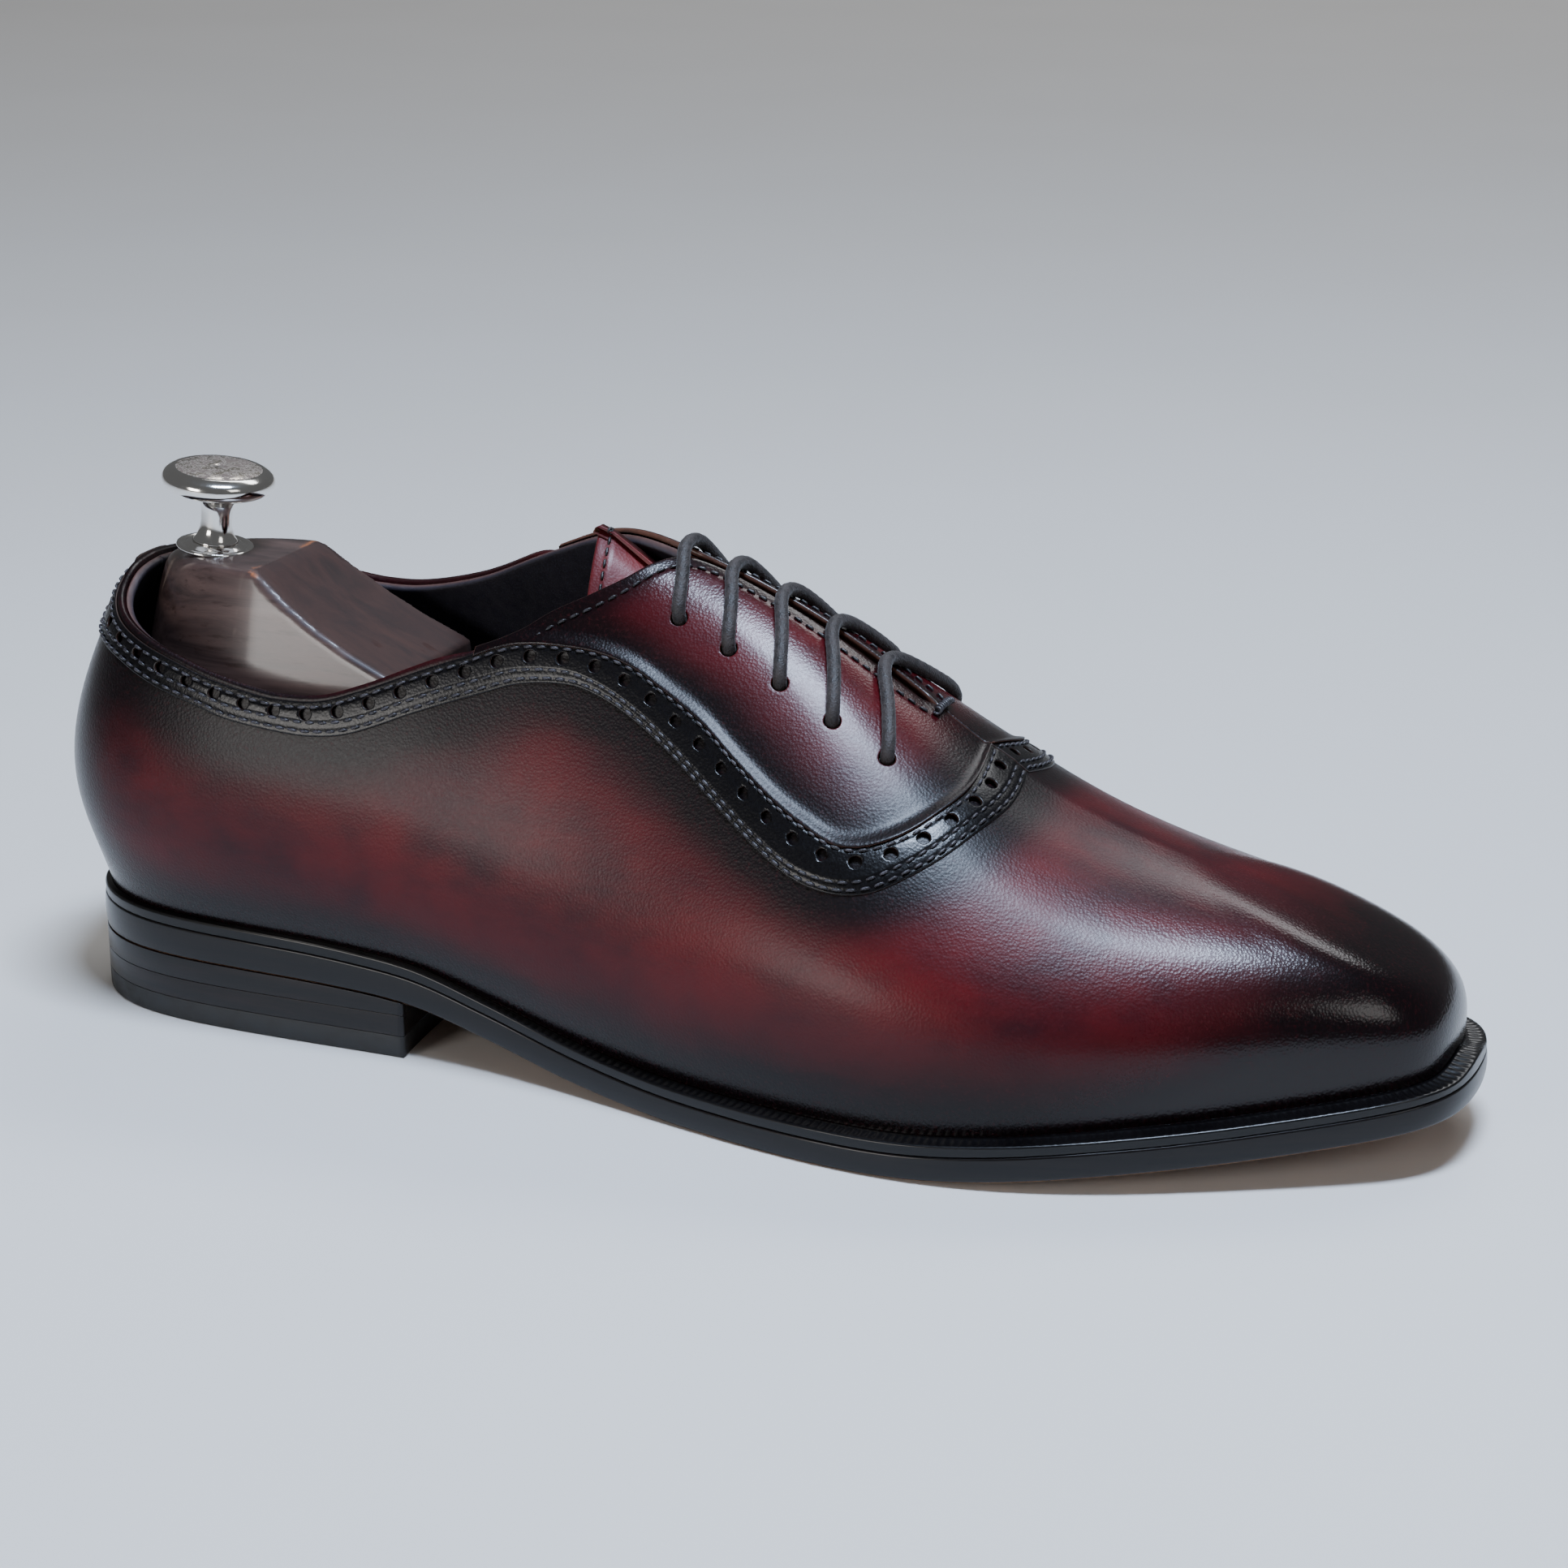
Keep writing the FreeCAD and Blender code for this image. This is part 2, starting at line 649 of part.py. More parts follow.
def make_facing(side):
    """Facing panel between the strip and the lace edge, with five lace holes."""
    lines = PATTERNS[side]
    start = 0.161
    lower = join_line(lines, JOIN_FULL)
    lower_points = []
    for i in range(6):
        s = start + (JOIN_FULL - start) * i / 6
        lower_points.append((own_s(lines, s), join_height(lines, s)))
    lower_points += lower.points
    lower = PatternLine([(s, min(t + 0.004, 0.999)) for s, t in lower_points])
    opening = lines["opening"]
    first = opening.fraction_at(own_s(lines, start))

    def place(u, v):
        low = lower.at(u)
        if u < 0.8:
            high = opening.at(first + (1 - first) * u / 0.8)
        else:
            f = (u - 0.8) / 0.2
            throat = opening.at(1.0)
            tip = lower.at(1.0)
            high = (throat[0] + (tip[0] - throat[0]) * f * 0.96, 0.998)
        return blend(low, high, v)

    holes = []
    for s, t in EYELETS:
        holes.append(punch(own_s(lines, s), t, size("EyeletDiameter"), 3.0))
    add_leather("facing_" + side, place, 60, 12, -size("UpperThickness"), 0.0, Part.makeCompound(holes))


def strip_holes(lines):
    """Row of brogue holes down the middle of the strip."""
    pitch = 7.0
    margin = 0.16
    top, low = lines["strip_top"], lines["strip_low"]
    middle = (top.length + low.length) / 2
    count = int((middle - 12.0) / pitch)
    cutters = []
    for i in range(count + 1):
        u = (6.0 + i * (middle - 12.0) / count) / middle
        s, t = blend(low.at(u), top.at(u), 0.5 + margin)
        cutters.append(punch(s, t, size("HoleDiameter"), 0.02))
    return Part.makeCompound(cutters)


def make_strip(side):
    lines = PATTERNS[side]

    def place(u, v):
        return blend(lines["strip_low"].at(u), lines["strip_top"].at(u), v)

    inner = size("OverlayGap")
    outer = inner + size("OverlayThickness")
    add_leather("brogue_strip_" + side, place, 100, 6, inner, outer, strip_holes(lines))


def make_backstay():
    inner = size("OverlayGap")
    outer = inner + size("OverlayThickness")

    def place(u, v):
        return -0.0115 + 0.023 * u, 0.055 + 0.678 * v

    add_leather("backstay", place, 8, 24, inner, outer)


def make_quarter_lining(side):
    lines = PATTERNS[side]
    opening = lines["opening"]
    end = opening.fraction_at(own_s(lines, 0.296))
    holes = []
    for s, t in EYELETS:
        holes.append(punch(own_s(lines, s), t, size("EyeletDiameter"), 4.5))

    def place(u, v):
        high = opening.at(end * u)
        s = 0.0015 + (0.296 - 0.0015) * u
        foot = (own_s(lines, s), 0.0)
        high = (high[0] + own_s(lines, 0.0015) - own_s(lines, 0.0) if u < 0.004 else high[0], high[1] - 0.004)
        return blend(foot, high, v)

    add_leather("quarter_lining_" + side, place, 60, 14, -size("LiningInner"), -size("LiningOuter"),
                Part.makeCompound(holes))


def forepart_place(back, corner):
    """Map of the forepart: u from the lateral to the medial feather line, v from the back to the toe."""
    ridge_x = last_point(back, 1.0).x

    def low(u):
        if u <= 0.5:
            return flatten(back, u * 2)
        return flatten(1.0 - back, (1 - u) * 2)

    def high(u):
        return flatten(corner + (1 - 2 * corner) * u, 0.0)

    def start(v):
        return flatten(back + (corner - back) * v, 0.0)

    def end(v):
        return flatten(1.0 - back - (corner - back) * v, 0.0)

    def place(u, v):
        if v >= 1.0:
            return corner + (1 - 2 * corner) * u, 0.0
        if u <= 0.0:
            return back + (corner - back) * v, 0.0
        if u >= 1.0:
            return 1.0 - back - (corner - back) * v, 0.0
        return coons(low, high, start, end, u, v)

    return place


def make_vamp_lining():
    add_leather("vamp_lining", forepart_place(0.2985, 0.458), 56, 44,
                -size("LiningInner"), -size("LiningOuter"))


def make_toe_puff():
    add_leather("toe_puff", forepart_place(0.415, 0.456), 44, 30,
                -size("StiffenerInner") + 0.4, -size("StiffenerOuter") - 0.36)


def make_heel_counter():
    def place(u, v):
        s = -0.105 + 0.21 * u
        top = 0.50 * (1 - 0.55 * (abs(2 * u - 1)) ** 3)
        return s, 0.012 + (top - 0.012) * v

    add_leather("heel_counter", place, 40, 12, -size("StiffenerInner"), -size("StiffenerOuter"))


def make_eyelet_stay(side):
    """Tape that backs the row of lace holes."""
    lines = PATTERNS[side]
    holes = []
    for s, t in EYELETS:
        holes.append(punch(own_s(lines, s), t, size("EyeletDiameter"), 3.5))

    def place(u, v):
        s = 0.212 + (0.293 - 0.212) * u
        low = 0.790 - 0.03 * u
        high = 0.925 + 0.03 * min(u * 4, 1.0)
        return own_s(lines, s), low + (high - low) * v

    add_leather("eyelet_stay_" + side, place, 20, 6, -size("StiffenerInner"), -size("StiffenerOuter"),
                Part.makeCompound(holes))


def tongue_depth(x):
    """Outer face of the tongue below the last surface, lower where the lace runs over it."""
    return lerp_table([(100, 4.3), (122, 4.6), (133, 7.6), (210, 7.6)], x)


def make_tongue():
    thickness = 1.6
    us, vs = greville(28), greville(16)
    inner, outer = [], []
    for u in us:
        x = 119.0 + 69.0 * u
        half = 9.0 + 6.0 * math.sin(math.pi * min(u * 0.75 + 0.25, 1.0)) + 3.0 * (1 - u)
        if u < 0.10:
            half = half * (0.86 + 1.4 * u)
        inner_row, outer_row = [], []
        for v in vs:
            y = -half + 2 * half * v
            dip = 1.5 * (y / half) ** 2 * (1 - u) * max(0.0, 1 - 5 * u)
            s, t = unflatten(x + dip, y)
            depth = tongue_depth(x)
            inner_row.append(leather_point(s, t, -depth - thickness))
            outer_row.append(leather_point(s, t, -depth))
        inner.append(inner_row)
        outer.append(outer_row)
    solid = solid_from_faces(block(sharpen_grid(inner), sharpen_grid(outer)))
    add_node(feature("tongue", solid))


# ---------------------------------------------------------------- bottom: welt, soles, insole, heel

def outline_point(s, margin):
    """Plan point beside the feather line, pushed outward by a margin."""
    here = last_point(s, 0.0)
    along = last_point(s + 0.002, 0.0) - last_point(s - 0.002, 0.0)
    length = math.hypot(along.x, along.y)
    return Vector(here.x + along.y / length * margin, here.y - along.x / length * margin, 0)


def sole_margin(s):
    return smooth_table(SOLE_MARGIN, last_point(s, 0.0).x)


def closed_outline(margin_at, count=120):
    points = [outline_point(i / count, margin_at(i / count)) for i in range(count)]
    curve = Part.BSplineCurve()
    curve.interpolate(points, True)
    return Part.Wire([curve.toShape()])


def profile_prism(low, high, start=-10.0, end=314.0):
    """Side view between two height functions, as a slab across the shoe."""
    half_width = 80.0
    steps = int((end - start) / 4.0)
    xs = [start + (end - start) * i / steps for i in range(steps + 1)]
    low_curve = Part.BSplineCurve()
    low_curve.interpolate([Vector(x, -half_width, low(x)) for x in xs])
    high_curve = Part.BSplineCurve()
    high_curve.interpolate([Vector(x, -half_width, high(x)) for x in xs])
    ends = [Part.LineSegment(Vector(x, -half_width, low(x)), Vector(x, -half_width, high(x))).toShape()
            for x in (xs[0], xs[-1])]
    wire = Part.Wire([low_curve.toShape(), ends[1], high_curve.toShape(), ends[0]])
    return Part.Face(wire).extrude(Vector(0, 2 * half_width, 0))


def add_layer(name, outline, low, high, cuts=None):
    """Layer of the bottom: an upright outline trimmed between two heights."""
    column = Part.Face(outline).extrude(Vector(0, 0, 60.0))
    column.translate(Vector(0, 0, -10.0))
    layer = column.common(profile_prism(low, high))
    if cuts:
        for cut in cuts:
            layer = layer.cut(cut)
    return add_node(feature(name, layer.Solids[0]))


def sole_top(x):
    return smooth_table(SOLE_TOP, x)


def sole_under(x):
    return smooth_table(SOLE_UNDER, x)


def make_outsole():
    add_layer("outsole", closed_outline(sole_margin), sole_under, sole_top)


def height_place(s, height):
    """Place t on the last where the surface is a height above the sole."""
    base = last_point(s, 0.0).z
    low, high = 0.0, 0.5
    for _ in range(40):
        middle = (low + high) / 2
        if last_point(s, middle).z - base < height:
            low = middle
        else:
            high = middle
    return (low + high) / 2


def make_welt():
    """Rand round the heel and welt round the forepart, cut from one strip that meets at the heel."""
    height = size("WeltHeight")
    us = greville(130)
    vs = greville(5)
    low_grid, high_grid = [], []
    for u in us:
        s = 0.0006 + 0.9988 * u
        margin = sole_margin(s)
        foot = last_point(s, 0.0)
        outer = outline_point(s, margin - 0.12)
        inner_low = outline_point(s, 0.14)
        t_top = height_place(s, height)
        wall = last_point(s, t_top)
        side = outline_point(s, 1.0) - outline_point(s, 0.0)
        inner_high = Vector(wall.x + side.x * 0.16, wall.y + side.y * 0.16, 0)
        reach = (outer - inner_high).dot(side)
        if reach < 0.35:
            inner_high = outer - side * 0.35
        z_low = foot.z - ABOVE_SOLE + 0.05
        z_high = foot.z + height - ABOVE_SOLE
        low_row, high_row = [], []
        for v in vs:
            a = inner_low + (outer - inner_low) * v
            b = inner_high + (outer - inner_high) * v
            low_row.append(Vector(a.x, a.y, sole_top(a.x) + 0.05))
            high_row.append(Vector(b.x, b.y, z_high))
        low_grid.append(low_row)
        high_grid.append(high_row)
    solid = solid_from_faces(block(sharpen_grid(low_grid), sharpen_grid(high_grid)))
    add_node(feature("welt", solid))


def make_insole_parts():
    under = size("InsoleHeight")
    top = under + size("InsoleThickness")
    sock = top + 0.05
    add_layer("insole", closed_outline(lambda s: -3.9),
              lambda x: sole_top(x) + under, lambda x: sole_top(x) + top)
    add_layer("sock_lining", closed_outline(lambda s: -4.6),
              lambda x: sole_top(x) + sock, lambda x: sole_top(x) + sock + size("SockThickness"))
    front = Part.makeBox(200, 200, 100, Vector(132, -100, -20))
    column = Part.Face(closed_outline(lambda s: -4.4)).extrude(Vector(0, 0, 60)).common(front)
    layer = column.common(profile_prism(lambda x: sole_top(x) + 0.05, lambda x: sole_top(x) + under - 0.05))
    add_node(feature("cork_filler", layer.Solids[0]))
    rear = Part.makeBox(72, 200, 100, Vector(-20, -100, -20))
    column = Part.Face(closed_outline(lambda s: -4.4)).extrude(Vector(0, 0, 60)).common(rear)
    layer = column.common(profile_prism(lambda x: sole_top(x) + 0.05, lambda x: sole_top(x) + under - 0.05))
    add_node(feature("heel_seat_filler", layer.Solids[0]))


def make_shank():
    """Steel shank under the waist."""
    strip = Part.makeBox(74, 14, 60, Vector(55, -8, -5))
    edges = [e for e in strip.Edges if abs(e.Vertexes[0].Z - e.Vertexes[1].Z) > 50]
    strip = strip.makeFillet(6.5, edges)
    layer = strip.common(profile_prism(lambda x: sole_top(x) + 1.2, lambda x: sole_top(x) + 2.7))
    add_node(feature("shank", layer.Solids[0]))


def heel_outline():
    """Outline of the heel: the outsole's back part with a gently hollow breast."""
    breast = size("HeelBreast")
    full = Part.Face(closed_outline(sole_margin))
    column = full.extrude(Vector(0, 0, 40))
    keep = Part.makeBox(140, 200, 60, Vector(breast - 140, -100, -10))
    hollow = Part.makeCylinder(260.0, 60, Vector(breast + 258.0, 0, -10))
    return column.common(keep).cut(hollow)


NAIL_PLACES = [(14, 0), (20, -17), (20, 17), (40, -24), (40, 23), (62, -24), (62, 22), (78, -10), (78, 10)]


def nail_cylinder(x, y, radius, low, high):
    return Part.makeCylinder(radius, high - low, Vector(x, y, low))


def make_heel():
    top_lift = size("TopLiftHeight")
    lift = size("LiftHeight")
    column = heel_outline()
    clearance = size("NailDiameter") / 2 + 0.05
    holes = Part.makeCompound([nail_cylinder(x, y, clearance, -1, size("NailLength") + 0.6)
                               for x, y in NAIL_PLACES])
    wide = Part.makeBox(200, 200, top_lift, Vector(-50, -100, 0))
    add_node(feature("top_lift", column.common(wide).cut(holes).Solids[0]))
    wide = Part.makeBox(200, 200, lift, Vector(-50, -100, top_lift + 0.05))
    add_node(feature("heel_lift_lower", column.common(wide).cut(holes).Solids[0]))
    start = top_lift + lift + 0.1
    upper = column.common(profile_prism(lambda x: start, lambda x: sole_under(x) - 0.05, -10.0, 92.0))
    add_node(feature("heel_lift_upper", upper.Solids[0]))


def make_nails():
    """Heel nails, driven up through the top lift into the lower lift."""
    nails = []
    for index, (x, y) in enumerate(NAIL_PLACES, start=1):
        nail = doc.addObject("Part::Cylinder", "heel_nail_%d" % index)
        nail.setExpression("Radius", "Dimensions.NailDiameter / 2")
        nail.setExpression("Height", "Dimensions.NailLength")
        nail.Placement.Base = Vector(x - CENTRE_X, y - CENTRE_Y, 0.4)
        nails.append(nail)
    group = doc.addObject("Part::Compound", "heel_nails")
    group.Links = nails
    group.Label = "heel_nails"
    add_node(group)


# ---------------------------------------------------------------- lace and bar tack

def rounded_path(points, radii):
    """Wire of straight runs joined by tangent arcs."""
    edges = []
    here = points[0]
    for i in range(1, len(points) - 1):
        corner = points[i]
        back = points[i - 1] - corner
        ahead = points[i + 1] - corner
        back.normalize()
        ahead.normalize()
        turn = math.pi - back.getAngle(ahead)
        reach = radii[i - 1] * math.tan(turn / 2)
        start = corner + back * reach
        end = corner + ahead * reach
        bisector = back + ahead
        bisector.normalize()
        centre = corner + bisector * (radii[i - 1] / math.cos(turn / 2))
        middle = centre - bisector * radii[i - 1]
        if (start - here).Length > 1e-4:
            edges.append(Part.LineSegment(here, start).toShape())
        edges.append(Part.Arc(start, middle, end).toShape())
        here = end
    edges.append(Part.LineSegment(here, points[-1]).toShape())
    return Part.Wire(edges)


def lace_tail(s, t, towards_toe):
    """End of the lace, tucked between lining and tongue beyond its last hole."""
    along = last_point(s + 0.004, t) - last_point(s - 0.004, t)
    along.normalize()
    if along.x < 0:
        along = along * -1
    return last_point(s, t) - last_normal(s, t) * 5.6 + along * 6.0 * towards_toe


def lace_points():
    """Corners of the lace's route and the arc radius at each inner corner."""
    over, under = 2.3, -5.4
    points, radii = [], []
    side_now, side_next = "lateral", "medial"
    for index, (s, t) in enumerate(EYELETS):
        route = []
        for side in (side_now, side_next):
            place = own_s(PATTERNS[side], s)
            normal = last_normal(place, t)
            base = last_point(place, t)
            route.append((base + normal * under, base + normal * over))
        (low_a, high_a), (low_b, high_b) = route
        ridge = last_point(s, 0.985)
        crest_side = 1 if side_now == "lateral" else -1
        crest_height = ridge.z + 3.7
        points += [low_a, high_a]
        points += [Vector(ridge.x, -5.5 * crest_side, crest_height - 0.9),
                   Vector(ridge.x, 5.5 * crest_side, crest_height - 0.9)]
        points += [high_b, low_b]
        radii += [1.7, 1.75, 7.0, 7.0, 1.75, 1.7]
        side_now, side_next = side_next, side_now
    points = [lace_tail(*EYELETS[0], -1)] + points
    place = own_s(PATTERNS[side_now], EYELETS[-1][0])
    points = points + [lace_tail(place, EYELETS[-1][1], 1)]
    return points, radii


def make_lace():
    points, radii = lace_points()
    wire = rounded_path(points, radii)
    start = wire.Edges[0]
    first = start.valueAt(start.FirstParameter)
    direction = start.tangentAt(start.FirstParameter)
    radius = size("LaceDiameter") / 2
    section = Part.Wire([Part.Circle(first, direction, radius).toShape()])
    solid = wire.makePipeShell([section], True, False)
    expected = math.pi * radius ** 2 * wire.Length
    print("lace length %.1f mm, volume over section times length %.4f" % (wire.Length, solid.Volume / expected))
    add_node(feature("lace", solid))


def make_bar_tack():
    """Thread bar that locks the bottom of the lacing."""
    s = 0.3055
    here = last_point(s, 0.997)
    slope = last_point(s + 0.004, 0.997) - last_point(s - 0.004, 0.997)
    slope.normalize()
    bar = Part.makeCylinder(0.8, 9.0, Vector(here.x, -4.5, here.z + 1.75), Vector(0, 1, 0))
    add_node(feature("bar_tack", bar))


# ---------------------------------------------------------------- shoe tree

PIVOT = (86.0, 0.0, 38.0)
TREE_Y = -1.5
KNOB_LEAN = 6.8
KNOB_FOOT = (27.0, TREE_Y, 95.7)


def extruded_curve(points, direction, closed_smooth=False):
    """Prism of a closed outline of straight and smooth spans."""
    edges = []
    for span in points:
        if len(span) == 2:
            edges.append(Part.LineSegment(span[0], span[1]).toShape())
        else:
            curve = Part.BSplineCurve()
            curve.interpolate(span)
            edges.append(curve.toShape())
    return Part.Face(Part.Wire(edges)).extrude(direction)


def box(x0, x1, y0, y1, z0, z1):
    return Part.makeBox(x1 - x0, y1 - y0, z1 - z0, Vector(x0, y0, z0))


def hinge_slots(width):
    """Room for the hinge plates on both sides of the pivot."""
    half_height = size("PlateHeight") / 2 + 0.05
    return box(PIVOT[0] - 24.05, PIVOT[0] + 22.05, -width, width,
               PIVOT[2] - half_height, PIVOT[2] + half_height)


def make_heel_block():
    def plan(x, y):
        return Vector(x, y + TREE_Y, 20)

    back = [plan(46, -23.4), plan(30, -21.4), plan(19, -16.4), plan(12.6, -9.6), plan(10, 0),
            plan(12.6, 9.6), plan(19, 16.4), plan(30, 21.4), plan(46, 23.4)]
    outline = extruded_curve([back, [plan(46, 23.4), plan(79, 21)], [plan(79, 21), plan(79, -21)],
                              [plan(79, -21), plan(46, -23.4)]], Vector(0, 0, 90))

    def side(x, z):
        return Vector(x, -60, z)

    heel_curve = [side(22, 30), side(13, 37), side(9.8, 48), side(9.8, 62), side(12.4, 78), side(15.9, 92)]
    top_round = [side(15.9, 92), side(18.2, 94.9), side(21.5, 95.6)]
    front = [side(45.5, 95.6), side(52, 90.6), side(60, 85.4), side(69, 80.6), side(79, 76.2)]
    profile = extruded_curve([heel_curve, top_round, [side(21.5, 95.6), side(45.5, 95.6)], front,
                              [side(79, 76.2), side(79, 30)], [side(79, 30), side(22, 30)]],
                             Vector(0, 120, 0))

    def section(y, z):
        return Vector(0, y + TREE_Y, z)

    left = [section(-17, 30), section(-22.4, 42), section(-23.0, 58), section(-20.7, 74),
            section(-17.3, 88), section(-14.9, 95.6)]
    right = [Vector(p.x, 2 * TREE_Y - p.y, p.z) for p in left]
    taper = extruded_curve([left, [left[-1], right[-1]], list(reversed(right)), [right[0], left[0]]],
                           Vector(100, 0, 0))
    block_solid = outline.common(profile).common(taper)
    block_solid = block_solid.cut(hinge_slots(size("RearPlateThickness") / 2 + 0.05))
    lean = FreeCAD.Rotation(Vector(0, 1, 0), KNOB_LEAN)
    axis = lean.multVec(Vector(0, 0, 1))
    stud_hole = Part.makeCylinder(2.05, 22.0, Vector(*KNOB_FOOT) - axis * 18.0, axis)
    block_solid = block_solid.cut(stud_hole)
    seat_radius = size("CollarDiameter") / 2 + 0.1
    collar_seat = Part.makeCylinder(seat_radius, 6.0, Vector(*KNOB_FOOT) - axis * 0.02, axis)
    block_solid = block_solid.cut(collar_seat)
    add_node(feature("tree_heel_block", block_solid.Solids[0]))


FORE_SECTIONS = [
    # x, centre y, half width, underside above the sole top, top height
    (93.0, 0.0, 20.0, 7.2, 60.0),
    (100.0, -0.5, 21.0, 7.0, 72.0),
    (112.0, -1.0, 21.5, 7.0, 76.0),
    (128.0, -2.0, 22.5, 7.0, 82.0),
    (146.0, -2.5, 25.5, 7.0, 79.0),
    (166.0, -2.0, 30.0, 7.0, 69.0),
    (188.0, -1.0, 35.0, 7.0, 55.5),
    (212.0, 1.0, 37.0, 7.0, 45.5),
    (236.0, 3.0, 33.0, 7.4, 37.5),
    (256.0, 5.0, 24.0, 8.2, 33.5),
    (270.0, 6.0, 14.0, 9.6, 29.0),
]


def fore_value(column, x):
    return smooth_table([(row[0], row[column]) for row in FORE_SECTIONS], x)


def make_tree_forepart():
    """Forepart of the tree: a domed block that ends short of the toe."""
    us, vs = greville(34), greville(22)
    low_grid, high_grid = [], []
    first, last = FORE_SECTIONS[0][0], FORE_SECTIONS[-1][0]
    for u in us:
        x = first + (last - first) * u
        centre, half = fore_value(1, x), fore_value(2, x)
        under = sole_top(x) + fore_value(3, x)
        top = fore_value(4, x)
        low_row, high_row = [], []
        for v in vs:
            angle = math.pi * (1 - v)
            reach = math.cos(angle)
            rise = math.sin(angle)
            y = centre + half * math.copysign(abs(reach) ** 0.8, reach)
            low_row.append(Vector(x, y, under + 5.0 * abs(reach) ** 4))
            high_row.append(Vector(x, y, under + 5.4 + (top - under - 5.4) * rise ** 0.8))
        low_grid.append(low_row)
        high_grid.append(high_row)
    solid = solid_from_faces(block(sharpen_grid(low_grid), sharpen_grid(high_grid)))
    solid = solid.cut(hinge_slots(size("RearPlateThickness") / 2 + size("LeafThickness") + 0.15))
    add_node(feature("tree_forepart", solid.Solids[0]))


def plate(y_low, y_high, x_low, x_high, hole_radius):
    """Hinge plate with a round eye at the pivot."""
    radius = size("PlateHeight") / 2
    bar = box(x_low, x_high, y_low, y_high, PIVOT[2] - radius, PIVOT[2] + radius)
    eye = Part.makeCylinder(radius, y_high - y_low, Vector(PIVOT[0], y_low, PIVOT[2]), Vector(0, 1, 0))
    hole = Part.makeCylinder(hole_radius, 40, Vector(PIVOT[0], -20, PIVOT[2]), Vector(0, 1, 0))
    return bar.fuse(eye).cut(hole).removeSplitter()


def make_hinge():
    pin_radius = size("PinDiameter") / 2
    half = size("RearPlateThickness") / 2
    leaf = size("LeafThickness")
    rear = plate(-half, half, PIVOT[0] - 24, PIVOT[0], pin_radius + size("HingeRunning"))
    add_node(feature("tree_hinge_plate_rear", rear))
    for name, low, high in (("lateral", -half - 0.1 - leaf, -half - 0.1), ("medial", half + 0.1, half + 0.1 + leaf)):
        front = plate(low, high, PIVOT[0], PIVOT[0] + 22, pin_radius + 0.02)
        add_node(feature("tree_hinge_leaf_" + name, front))
    pin = doc.addObject("Part::Cylinder", "tree_hinge_pin")
    pin.setExpression("Radius", "Dimensions.PinDiameter / 2")
    pin.setExpression("Height", "Dimensions.PinLength")
    pin.Placement = FreeCAD.Placement(
        Vector(PIVOT[0] - CENTRE_X, -size("PinLength") / 2 - CENTRE_Y, PIVOT[2]),
        FreeCAD.Rotation(Vector(1, 0, 0), -90))
    pin.Label = "tree_hinge_pin"
    add_node(pin)


def revolved(name, outline):
    """Turned piece on the knob's leaning axis, from (radius, height) spans."""
    edges = []
    for span in outline:
        points = [Vector(r, 0, z) for r, z in span]
        if len(points) == 2:
            edges.append(Part.LineSegment(points[0], points[1]).toShape())
        else:
            curve = Part.BSplineCurve()
            curve.interpolate(points)
            edges.append(curve.toShape())
    profile = doc.addObject("Part::Feature", name + "_profile")
    profile.Shape = Part.Face(Part.Wire(edges))
    turned = doc.addObject("Part::Revolution", name)
    turned.Source = profile
    turned.Axis = Vector(0, 0, 1)
    turned.Base = Vector(0, 0, 0)
    turned.Angle = 360.0
    turned.Solid = True
    turned.Placement = FreeCAD.Placement(
        Vector(KNOB_FOOT[0] - CENTRE_X, KNOB_FOOT[1] - CENTRE_Y, KNOB_FOOT[2]),
        FreeCAD.Rotation(Vector(0, 1, 0), KNOB_LEAN))
    turned.Label = name
    return add_node(turned)


def make_knob():
    head = size("KnobDiameter") / 2
    stem = size("StemDiameter") / 2
    collar = size("CollarDiameter") / 2
    bore = 2.0
    # turned head with its stem, bored from below for the stud
    revolved("tree_knob", [
        [(0, 9.0), (bore + 0.05, 9.0)],
        [(bore + 0.05, 9.0), (bore + 0.05, 1.6)],
        [(bore + 0.05, 1.6), (stem + 1.2, 1.6)],
        [(stem + 1.2, 1.6), (stem + 0.3, 3.2), (stem - 0.3, 5.0), (stem - 0.2, 9.0), (stem + 0.6, 11.4)],
        [(stem + 0.6, 11.4), (head - 4.0, 12.2), (head - 0.9, 13.4), (head, 15.2), (head - 0.8, 16.8)],
        [(head - 0.8, 16.8), (head - 2.6, 18.0), (head - 3.6, 18.2)],
        [(head - 3.6, 18.2), (0, 18.2)],
        [(0, 18.2), (0, 9.0)],
    ])
    revolved("tree_knob_collar", [
        [(bore + 0.05, 0.0), (collar, 0.0)],
        [(collar, 0.0), (collar, 0.8)],
        [(collar, 0.8), (collar - 1.0, 1.4), (collar - 2.4, 1.5)],
        [(collar - 2.4, 1.5), (bore + 0.05, 1.5)],
        [(bore + 0.05, 1.5), (bore + 0.05, 0.0)],
    ])
    stud = doc.addObject("Part::Cylinder", "tree_knob_stud")
    stud.Radius = bore
    stud.Height = 26.0
    lean = FreeCAD.Rotation(Vector(0, 1, 0), KNOB_LEAN)
    foot = Vector(KNOB_FOOT[0] - CENTRE_X, KNOB_FOOT[1] - CENTRE_Y, KNOB_FOOT[2])
    stud.Placement = FreeCAD.Placement(foot + lean.multVec(Vector(0, 0, -17.2)), lean)
    stud.Label = "tree_knob_stud"
    add_node(stud)


# ---------------------------------------------------------------- build

make_body()
for foot_side in ("lateral", "medial"):
    make_facing(foot_side)
    make_strip(foot_side)
    make_quarter_lining(foot_side)
    make_eyelet_stay(foot_side)
make_backstay()
make_vamp_lining()
make_toe_puff()
make_heel_counter()
make_tongue()
make_welt()
make_outsole()
make_insole_parts()
make_shank()
make_heel()
make_nails()
make_lace()
make_bar_tack()
make_heel_block()
make_tree_forepart()
make_hinge()
make_knob()

